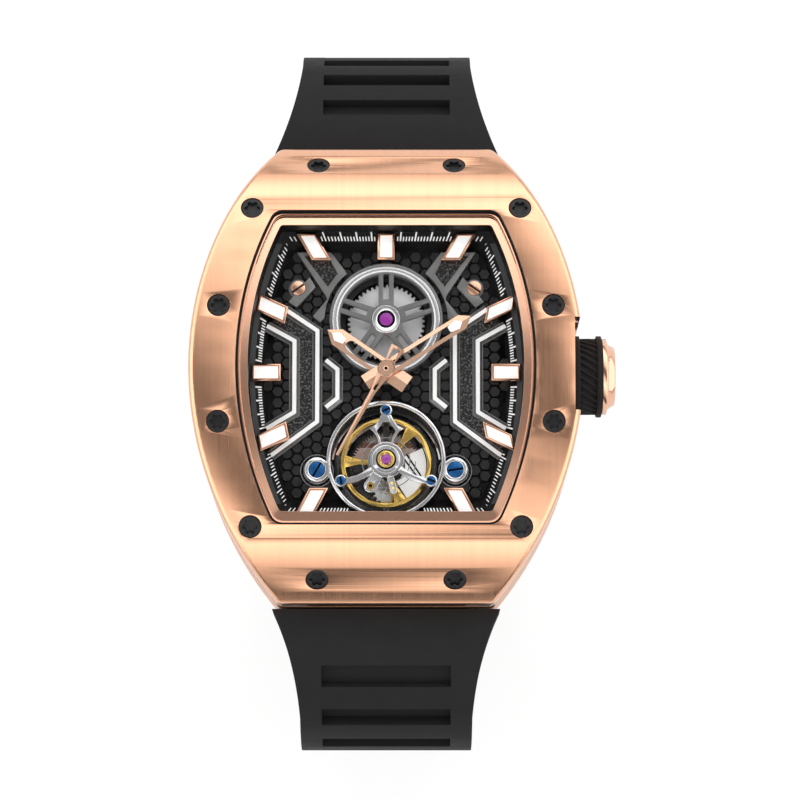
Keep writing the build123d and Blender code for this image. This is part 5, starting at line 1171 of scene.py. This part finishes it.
@dataclass
class Dial(SubAssembly):
    """Hour marks, dial plate with its honeycomb, and its furniture."""

    dressings: Table = (
        ("hour_index_frames", POLISHED_GOLD, 0.06), ("hour_index_lume", LUME, 0.03), ("dial_plate", DIAL_BLACK),
        ("main_plate", PLATE_GREY), ("upper_frames", GREY_STEEL, 0.07), ("dial_screws", POLISHED_GOLD, 0.05))
    bracket_depth: float = 6.9
    bracket_lines: tuple[tuple[Section, float], ...] = (
        (((-11.10, 7.20), (-7.54, 4.80), (-7.54, -5.30), (-12.55, -9.05)), 1.1),
        (((-13.09, 5.35), (-10.05, 3.66), (-10.05, -4.25), (-13.09, -6.10)), 1.15),
        (((-6.60, 1.53), (-5.33, 0.49), (-5.33, -2.71), (-6.60, -3.73)), 1.2))
    bracket_height: float = 0.8
    highlight_width: float = 0.44
    crest_slant: float = 0.03
    crest_step: float = 0.12
    slope_drop: float = 0.34
    rim_width: float = 0.1
    rim_rise: float = 0.05
    crest_up: float = 0.97
    crest_within: float = 0.02
    cell_pitch: float = 1.25
    cell_groove: float = 0.12
    cell_height: float = 0.22
    cell_chamfer: float = 0.07
    cell_reach: int = 13
    inner: Barrel = Barrel(26.1, 27.5, 36.0)
    barrel_clear: float = 5.72
    cage_clear: float = 6.72
    pipe_clear: float = 1.4
    grain_depth: float = 7.36
    grain_band: Section = (
        (-11.10, 7.20), (-13.09, 5.35), (-10.05, 3.66), (-10.05, -4.25), (-13.09, -6.10), (-12.55, -9.05),
        (-7.54, -5.30), (-7.54, 4.80))
    grain_pocket: Section = ((-9.2, 13.3), (-6.42, 9.60), (-5.25, 11.18), (-6.3, 13.3))
    screw_places: Section = ((-9.68, 9.56), (9.68, 9.56))
    screw_radius: float = 0.78

    def add_pieces(self) -> None:
        """Build the brackets, the honeycomb and the grained plates."""
        self.paint_slot_shadow("dial_screws", self.screw_places, self.screw_radius, level(self.bracket_depth))
        brackets = joined("dial_brackets_dressed", [
            bar for number, (line, width) in enumerate(self.bracket_lines)
            for bar in self.bracket(number, line, width)])
        # The crests get the painted highlight finish.
        second_finish(self.settle(brackets, BRACKET_GREY, "dial_brackets", True), BRACKET_HIGHLIGHT, self.on_crest)
        cells = repeated("honeycomb_cells", self.cell(), self.cell_stamps(), CELL_BLACK)
        self.settle(cells, CELL_BLACK, "dial_plate")
        for name, outline in (("grained_bands", self.grain_band), ("grained_pockets", self.grain_pocket)):
            piece = both_sides(name, outline, level(self.grain_depth), FLOOR_DEPTH - self.grain_depth)
            self.settle(piece, GRAINED_BLACK, "dial_plate")

    def bracket(self, number: int, line: Section, width: float) -> list[Piece]:
        """Left and right copies of one bracket; its crest gets a painted white highlight between grey slopes.

        Args:
            number: Its place in the list.
            line: Corners of its middle line in millimetres.
            width: Width of its foot.

        Returns:
            The two bars.
        """
        top, half, crest = level(self.bracket_depth), width / 2, self.highlight_width / 2
        low, foot = top - self.slope_drop, level(self.bracket_depth + self.bracket_height)
        rim = half - self.rim_width
        left = ((-half, foot), (-half, low + self.rim_rise), (-rim, low + self.rim_rise), (-rim, low),
                (-crest - self.crest_slant, top - self.crest_step), (-crest, top))
        right = ((crest, top), (crest + self.crest_slant, top - self.crest_step), (rim, low), (half, low),
                 (half, foot))
        return [ridge("bracket_%d_%d" % (number, side), [(side * x, y) for x, y in line],
                      [(side * offset, height) for offset, height in left + right]) for side in (1, -1)]

    def on_crest(self, centre: Vector, normal: Vector) -> bool:
        """Whether a face of a bracket lies on its crest, which gets the painted highlight."""
        return normal.z > self.crest_up and centre.z > level(self.bracket_depth) - self.crest_within

    def cell(self) -> Piece:
        """One six-sided cell with a chamfered top, its foot at the origin.

        Returns:
            The cell, open below.
        """
        work = bmesh.new()
        wide = (self.cell_pitch - self.cell_groove) / math.sqrt(3)
        rings = []
        for radius, rise in ((wide, 0.0), (wide, self.cell_height - self.cell_chamfer),
                             (wide - self.cell_chamfer, self.cell_height)):
            corners = [polar((0, 0), radius, math.radians(60 * k)) for k in range(6)]
            rings.append([work.verts.new((x * MM, y * MM, rise * MM)) for x, y in corners])
        for lower, upper in zip(rings, rings[1:]):
            for k in range(6):
                work.faces.new((lower[k], lower[(k + 1) % 6], upper[(k + 1) % 6], upper[k]))
        work.faces.new(rings[-1])
        return new_object("cell_unit", mesh_from("cell_unit", work))

    def cell_stamps(self) -> list[Stamp]:
        """Places of all cells that fit on the dial.

        Returns:
            One stamp for each cell.
        """
        stamps = []
        numbers = range(-self.cell_reach, self.cell_reach + 1)
        for column in numbers:
            for row in numbers:
                x = column * (self.cell_pitch * math.sqrt(3) / 2)
                y = (row + 0.5 * (column % 2)) * self.cell_pitch
                if (abs(y) < self.inner.length / 2 and abs(x) < self.inner.half_width(y)
                        and math.dist((x, y), BARREL_CENTRE) > self.barrel_clear
                        and math.dist((x, y), CAGE_CENTRE) > self.cage_clear
                        and math.hypot(x, y) > self.pipe_clear):
                    stamps.append(Stamp((x * MM, y * MM, level(FLOOR_DEPTH) * MM)))
        return stamps


@dataclass
class BarrelBridge(SubAssembly):
    """Ring over the barrel with its jewelled hub."""

    dressings: Table = (
        ("train_bridge", PLATE_GREY, 0.1), ("bridge_screws", STEEL, 0.04), ("barrel_bridge", BRIDGE_GREY, 0.1),
        ("barrel_jewel", RUBY, 0.08, 3))
    top_depth: float = 6.2
    collar: Section = ((0.98, -0.05), (0.98, 0.10), (1.08, 0.16), (1.50, 0.16), (1.60, 0.08), (1.60, -0.05))
    band: Section = ((5.22, -0.05), (5.30, 0.06), (5.50, 0.12), (5.74, 0.12), (5.92, 0.05), (6.0, -0.05))
    shade_ring: Section = ((0.74, -0.03), (0.74, 0.02), (0.97, 0.02), (0.97, -0.03))

    def add_pieces(self) -> None:
        """Add the hub's collar, the ring's bright band and a dark ring round the jewel, painted shade of its
        hollow.
        """
        # The black ring round the jewel is painted shade.
        for name, section, steps, finish, edge, angle in (
                ("hub_collar", self.collar, 64, POLISHED_STEEL, 0.03, SHARP_FROM),
                ("bridge_band", self.band, 128, TURNED_STEEL, 0.0, SMOOTH_BAND),
                ("jewel_well", self.shade_ring, 64, SLOT_BLACK, 0.0, SHARP_FROM)):
            piece = lathed(name, raised(section, level(self.top_depth)), BARREL_CENTRE, steps)
            self.settle(soften_edges(piece, edge, 2, angle), finish, "barrel_bridge")


@dataclass
class Movement(SubAssembly):
    """Wheels of the train, seen through the openings."""

    dressings: Table = (
        ("barrel", GEAR_STEEL, 0.03, 1), ("mainspring", SPRING_STEEL), ("barrel_arbor", STEEL, 0.03, 1),
        ("crown_wheel", STEEL, 0.03, 1), ("hour_wheel", GILT, 0.02, 1), ("centre_wheel", GILT, 0.02, 1),
        ("seconds_arbor", GILT, 0.02, 1), ("third_wheel", DARK_WHEEL, 0.02, 1),
        ("fixed_wheel", DARK_WHEEL, 0.02, 1))


@dataclass
class Tourbillon(SubAssembly):
    """Cage, balance and escapement at 6 o'clock."""

    dressings: Table = (
        ("tourbillon_ring", POLISHED_STEEL, 0.1), ("ring_screws", BLUED, 0.05),
        ("cage_bridge", POLISHED_STEEL, 0.1), ("cage_base", CAGE_GREY, 0.06), ("cage_screws", BLUED, 0.04),
        ("cage_jewel", RUBY, 0.05),
        ("shock_spring", GILT, 0.05), ("regulator", POLISHED_STEEL, 0.06), ("balance_wheel", GILT, 0.07),
        ("hairspring", SPRING_STEEL), ("escape_wheel", STEEL, 0.02, 1), ("pallet_fork", STEEL, 0.02, 1))
    ear_places: Section = ((-7.55, -10.7), (7.55, -10.7))
    ear_screw_radius: float = 0.85
    ear_rims: Point = (1.42, 1.78)
    ear_rim_section: Section = ((-0.06, -0.3), (-0.03, 0.0), (0.03, 0.0), (0.06, -0.3))
    rim_depth: float = 7.35
    arm_radius: float = 5.45
    arm_angles: Triple = (90.0, 205.5, 334.5)
    arm_screw_radius: float = 0.5
    bridge_depth: float = 6.2
    stone: Section = ((0.03, -0.05), (0.03, 0.16), (0.3, 0.14), (0.5, 0.05), (0.55, -0.05))
    hub_rims: tuple[Section, ...] = (
        ((1.48, -0.03), (1.54, 0.12), (1.82, 0.12), (1.9, -0.03)),
        ((1.08, -0.03), (1.1, 0.05), (1.2, 0.05), (1.22, -0.03)))
    shade_ring: Section = ((0.9, -0.03), (0.9, 0.03), (1.09, 0.03), (1.09, -0.03))
    plate_depth: float = 10.6
    plate_thickness: float = 0.2
    plate_reach: Point = (2.1, 4.4)
    plate_angles: range = range(-58, 27, 4)
    bars: tuple[tuple[Point, Point], ...] = (((20, 2.1), (-26, 4.3)), ((29, 2.55), (-17, 4.0)))
    bar_section: Section = ((-0.09, 0.0), (-0.09, 0.1), (0.09, 0.1), (0.09, 0.0))
    regulator_collar: Section = ((0.2, -0.05), (0.2, 0.07), (0.42, 0.07), (0.42, -0.05))
    collar_place: Point = (239, 3.3)
    stud_dot: Section = ((0.03, -0.05), (0.03, 0.1), (0.16, 0.06), (0.18, -0.05))
    stud_places: tuple[Point, ...] = ((284, 2.62), (284, 3.2))

    def at(self, angle: float, radius: float) -> Point:
        """Place at an angle in degrees and a radius from the cage's axis."""
        return polar(CAGE_CENTRE, radius, math.radians(angle))

    def add_pieces(self) -> None:
        """Add the rims, the jewel and the fittings that catch the light."""
        heads = [self.at(angle, self.arm_radius) for angle in self.arm_angles]
        for node, places, radius in (("ring_screws", self.ear_places, self.ear_screw_radius),
                                     ("cage_screws", heads, self.arm_screw_radius)):
            self.paint_slot_shadow(node, places, radius, top_of(node))
        sections = [raised(self.ear_rim_section, level(self.rim_depth), radius) for radius in self.ear_rims]
        for name, place in zip(("left_ear_rims", "right_ear_rims"), self.ear_places):
            rims = joined(name, [lathed("rim", section, place) for section in sections])
            self.settle(rims, POLISHED_STEEL, "tourbillon_ring")
        self.hub()
        self.foot_plate()
        face = top_of("regulator")
        fittings = joined("regulator_fittings", [
            lathed("collar", raised(self.regulator_collar, face), self.at(*self.collar_place), steps=32)] + [
            lathed("dot", raised(self.stud_dot, face), self.at(*place), steps=20) for place in self.stud_places])
        self.settle(soften_edges(fittings), GILT, "shock_spring")

    def hub(self) -> None:
        """Add the jewel over the axis, the rims, and a dark ring round it painted as the shade of its hollow."""
        stone = lathed("cage_stone", raised(self.stone, top_of("shock_spring")), CAGE_CENTRE, steps=32)
        self.settle(soften_edges(stone, angle=SMOOTH_BAND), RUBY, "cage_jewel")
        face = level(self.bridge_depth)
        rims = joined("cage_hub_rims", [lathed("rim", raised(section, face), CAGE_CENTRE)
                                        for section in self.hub_rims])
        self.settle(soften_edges(rims, angle=CRISP_STEPS), POLISHED_STEEL, "cage_bridge")
        # The black ring round the cage's jewel is painted shade.
        shade_ring = lathed("cage_well", raised(self.shade_ring, face), CAGE_CENTRE)
        self.settle(soften_edges(shade_ring), SLOT_BLACK, "cage_bridge")

    def foot_plate(self) -> None:
        """Add the plate at the foot of the cage, painted bright with a glow in place of its reflection, and the
        dark bars on it.
        """
        near, far = self.plate_reach
        outline = ([self.at(angle, far) for angle in self.plate_angles]
                   + [self.at(angle, near) for angle in reversed(self.plate_angles)])
        face = level(self.plate_depth)
        low = plate("cage_plate", outline, face, self.plate_thickness)
        section = raised(self.bar_section, face)
        bars = joined("cage_plate_bars", [ridge("bar", [self.at(*end) for end in ends], section)
                                          for ends in self.bars])
        for piece, finish in ((low, PAINTED_BRIGHT_STEEL), (bars, SLOT_BLACK)):
            self.settle(soften_edges(piece), finish, "cage_base")


@dataclass
class Hands(SubAssembly):
    """Hour, minute and seconds hands with pitched tops and luminous heads."""

    angles: dict[str, float] = field(default_factory=lambda: {
        "hour_hand": -55.2, "minute_hand": 57.5, "seconds_hand": 209.0})
    fall: float = 0.17
    same_height: float = 1e-6
    cap: Section = ((0.2, -0.1), (0.2, 0.1), (0.26, 0.13), (0.86, 0.13), (0.93, 0.06), (0.93, -0.1))
    pin: Section = ((0.02, 0.0), (0.02, 0.04), (0.2, 0.04), (0.2, 0.0))
    lume_spans: dict[str, Point] = field(default_factory=lambda: {
        "hour_hand": (5.55, 7.15), "minute_hand": (8.15, 9.85)})
    lume_half_width: float = 0.52
    lume_foot_share: float = 0.6
    lume_shoulder: float = 0.62
    lume_lift: float = 0.02
    lume_thickness: float = 0.16
    lume_edge: float = 0.02

    def add_pieces(self) -> None:
        """Dress the hands, cap their axis and lay their luminous heads."""
        for node, angle in self.angles.items():
            self.settle(self.roofed(node, math.radians(angle)), HAND_GOLD, node, True)
        top = top_of("seconds_hand")
        for name, section, steps, finish, angle in (
                ("seconds_cap", self.cap, 48, HAND_GOLD, CRISP_STEPS),
                ("seconds_pin", self.pin, 32, SLOT_BLACK, SHARP_FROM)):
            piece = lathed(name, raised(section, top), (0.0, 0.0), steps)
            self.settle(soften_edges(piece, angle=angle), finish, "seconds_hand")
        for node, span in self.lume_spans.items():
            self.head(node, math.radians(self.angles[node]), span)

    def roofed(self, node: str, angle: float) -> Piece:
        """Copy of a hand whose top falls away from its centre line.

        Args:
            node: CAD node of the hand.
            angle: Its clock angle in radians.

        Returns:
            The copy.
        """
        piece = merged_copy(node, node + "_dressed")
        across = Vector((math.cos(angle), -math.sin(angle), 0.0))
        top = max(vertex.co.z for vertex in piece.data.vertices)
        work = bmesh.new()
        work.from_mesh(piece.data)
        cut_across(work, (0, 0, 0), across)
        for vertex in work.verts:
            if vertex.co.z > top - self.same_height:
                vertex.co.z -= self.fall * abs(vertex.co.dot(across))
        work.to_mesh(piece.data)
        work.free()
        return piece

    def head(self, node: str, angle: float, span: Point) -> None:
        """Luminous five-sided plate near a hand's tip.

        Args:
            node: Hand that carries it.
            angle: Clock angle of the hand in radians.
            span: Distances from the hand axis of its foot and its tip.
        """
        foot, tip = span
        shoulder = foot + self.lume_shoulder * (tip - foot)
        wide, narrow = self.lume_half_width, self.lume_foot_share * self.lume_half_width
        local = ((-narrow, foot), (narrow, foot), (wide, shoulder), (0.0, tip), (-wide, shoulder))
        c, s = math.cos(angle), math.sin(angle)
        outline = [(x * c + y * s, -x * s + y * c) for x, y in local]
        piece = plate(node + "_lume", outline, top_of(node) + self.lume_lift, self.lume_thickness)
        self.settle(soften_edges(piece, self.lume_edge, 1), LUME, node, slot_of="hour_index_lume")


@dataclass
class Strap(SubAssembly):
    """Rubber strap, its pins and its folding clasp."""

    dressings: Table = (
        ("upper_strap", RUBBER, 0.25, 3), ("lower_strap", RUBBER, 0.25, 3), ("strap_pins", STEEL, 0.05),
        ("clasp_cover", BRUSHED_GOLD, 0.2, 3), ("clasp_blade", STEEL, 0.08), ("clasp_catch", STEEL, 0.08),
        ("clasp_hinge_pin", STEEL, 0.08), ("clasp_screws", STEEL, 0.08),
        ("right_clasp_button", POLISHED_GOLD, 0.1), ("left_clasp_button", POLISHED_GOLD, 0.1))


# ---------------------------------------------------------------- studio

@dataclass
class Studio:
    """Camera, floor, lamps and surroundings."""

    aim: Triple = (1.52, -4.1, 60.0)
    elevation: float = 80.3
    distance: float = 400.0
    pixels_per_mm: float = 9.3
    image_width: int = 800
    sensor: float = 36.0
    nearest: float = 0.01
    floor_half: float = 3.0
    floor_tone: tuple[float, ...] = (0.93, 0.93, 0.93, 1.0)
    floor_white: float = 1.12
    floor_white_share: float = 0.72
    lamps: tuple[tuple[str, Triple, float, float], ...] = (
        ("lamp_back", (0.0, 0.55, 0.75), 0.7, 2.5), ("lamp_front", (0.0, -0.6, 0.62), 0.6, 1.2),
        ("lamp_left", (-0.65, 0.05, 0.55), 0.5, 0.8), ("lamp_right", (0.65, 0.05, 0.55), 0.5, 0.8))
    lamp_aim: Triple = (0, 0, 0.05)
    arc: Section = (
        (-112, 0.05), (-93, 0.03), (-86, 0.04), (-77, 0.32), (-64, 0.72), (-50, 1.50), (-40, 1.90),
        (-20, 1.30), (-6, 0.30), (0, 0.20), (9, 0.20), (14, 0.42), (28, 1.20), (40, 1.70), (66, 2.15),
        (78, 1.20), (90, 0.15))
    arc_reach: float = 120.0
    arc_most: float = 2.2
    side_tone: float = 1.8
    side_span: Point = (0.35, 0.7)
    horizon_span: Point = (-0.02, 0.1)
    soft_light: float = 0.62

    def build(self) -> None:
        """Set the whole studio."""
        self.camera()
        self.floor()
        self.surroundings()
        for lamp in self.lamps:
            self.lamp(*lamp)
        bpy.context.scene.view_settings.view_transform = "Standard"

    def camera(self) -> None:
        """Camera above the 6 o'clock side, level with the photograph's frame."""
        data = bpy.data.cameras.new("studio_camera")
        data.sensor_width = self.sensor
        data.lens = self.pixels_per_mm * self.distance / self.image_width * self.sensor
        data.clip_start = self.nearest
        made = bpy.data.objects.new("studio_camera", data)
        bpy.context.scene.collection.objects.link(made)
        tilt = math.radians(self.elevation)
        back = Vector((0, -math.cos(tilt), math.sin(tilt)))
        made.location = Vector(self.aim) * MM + back * self.distance * MM
        made.rotation_euler = (math.radians(90) - tilt, 0, 0)
        bpy.context.scene.camera = made

    def seen(self, tree: Tree) -> Socket:
        """Whether a ray comes from the camera, straight or through the glass."""
        light = add_node(tree, "ShaderNodeLightPath").outputs
        return maths(tree, "MAXIMUM", light["Is Camera Ray"], light["Is Transmission Ray"])

    def floor(self) -> None:
        """Plain pale floor under the clasp, white to the camera apart from the shadow."""
        work = bmesh.new()
        bmesh.ops.create_grid(work, x_segments=1, y_segments=1, size=self.floor_half)
        made = new_object("studio_floor", mesh_from("studio_floor", work))
        material, surface = new_material("pale_floor", {
            "Base Color": self.floor_tone, "Roughness": 0.9, "Specular IOR Level": 0.0})
        tree = material.node_tree
        white = add_node(tree, "ShaderNodeEmission", {}, Color=WHITE, Strength=self.floor_white)
        share = maths(tree, "MULTIPLY", self.seen(tree), self.floor_white_share)
        whole = blended(tree, share, surface, white)
        tree.links.new(whole.outputs[0], tree.nodes["Material Output"].inputs["Surface"])
        set_finish(made, material)

    def surroundings(self) -> None:
        """Soft white surroundings, with a dim ceiling and horizon in reflections."""
        world = bpy.data.worlds.new("studio")
        bpy.context.scene.world = world
        world.use_nodes = True
        tree = world.node_tree
        tree.nodes.clear()
        place = add_node(tree, "ShaderNodeTexCoord").outputs["Generated"]
        axes = add_node(tree, "ShaderNodeSeparateXYZ", {}, Vector=place).outputs
        reach = math.radians(self.arc_reach)
        share = ranged(tree, maths(tree, "ARCTAN2", axes["Y"], axes["Z"]), From_Min=-reach, From_Max=reach)
        ramp = add_node(tree, "ShaderNodeValToRGB", {}, Fac=share)
        while len(ramp.color_ramp.elements) < len(self.arc):
            ramp.color_ramp.elements.new(0.5)
        for element, (angle, tone) in zip(ramp.color_ramp.elements, self.arc):
            element.position = (angle + self.arc_reach) / (2 * self.arc_reach)
            element.color = (tone / self.arc_most,) * 3 + (1,)
        wing = ranged(tree, maths(tree, "ABSOLUTE", axes["X"]), True, From_Min=self.side_span[0],
                      From_Max=self.side_span[1])
        above = ranged(tree, axes["Z"], True, From_Min=self.horizon_span[0], From_Max=self.horizon_span[1])
        tone = toned(tree, maths(tree, "MULTIPLY", wing, above), ramp.outputs["Color"],
                     (self.side_tone / self.arc_most,) * 3 + (1,))
        plain, reflected, white = (
            add_node(tree, "ShaderNodeBackground", {}, Color=colour, Strength=strength)
            for colour, strength in ((WHITE, self.soft_light), (tone, self.arc_most), (WHITE, 1.0)))
        glossy = add_node(tree, "ShaderNodeLightPath").outputs["Is Glossy Ray"]
        whole = blended(tree, self.seen(tree), blended(tree, glossy, plain, reflected), white)
        out = tree.nodes.new("ShaderNodeOutputWorld")
        tree.links.new(whole.outputs[0], out.inputs["Surface"])

    def lamp(self, name: str, place: Triple, size: float, power: float) -> None:
        """Square soft lamp that looks at the dial.

        Args:
            name: Name of the lamp.
            place: Where it hangs, in metres.
            size: Its side in metres.
            power: Its power in watts.
        """
        data = bpy.data.lights.new(name, "AREA")
        data.shape = "SQUARE"
        data.size = size
        data.energy = power
        made = bpy.data.objects.new(name, data)
        made.location = place
        made.rotation_euler = (Vector(self.lamp_aim) - Vector(place)).to_track_quat("-Z", "Y").to_euler()
        made.visible_glossy = False
        bpy.context.scene.collection.objects.link(made)


def main() -> None:
    """Build the studio and every sub-assembly in order."""
    logging.basicConfig(level=logging.INFO, format="%(name)s: %(message)s")
    for part in (Studio, Case, Crown, MinuteTrack, Dial, BarrelBridge, Movement, Tourbillon, Hands, Strap):
        part().build()


if __name__ == "__main__":
    main()
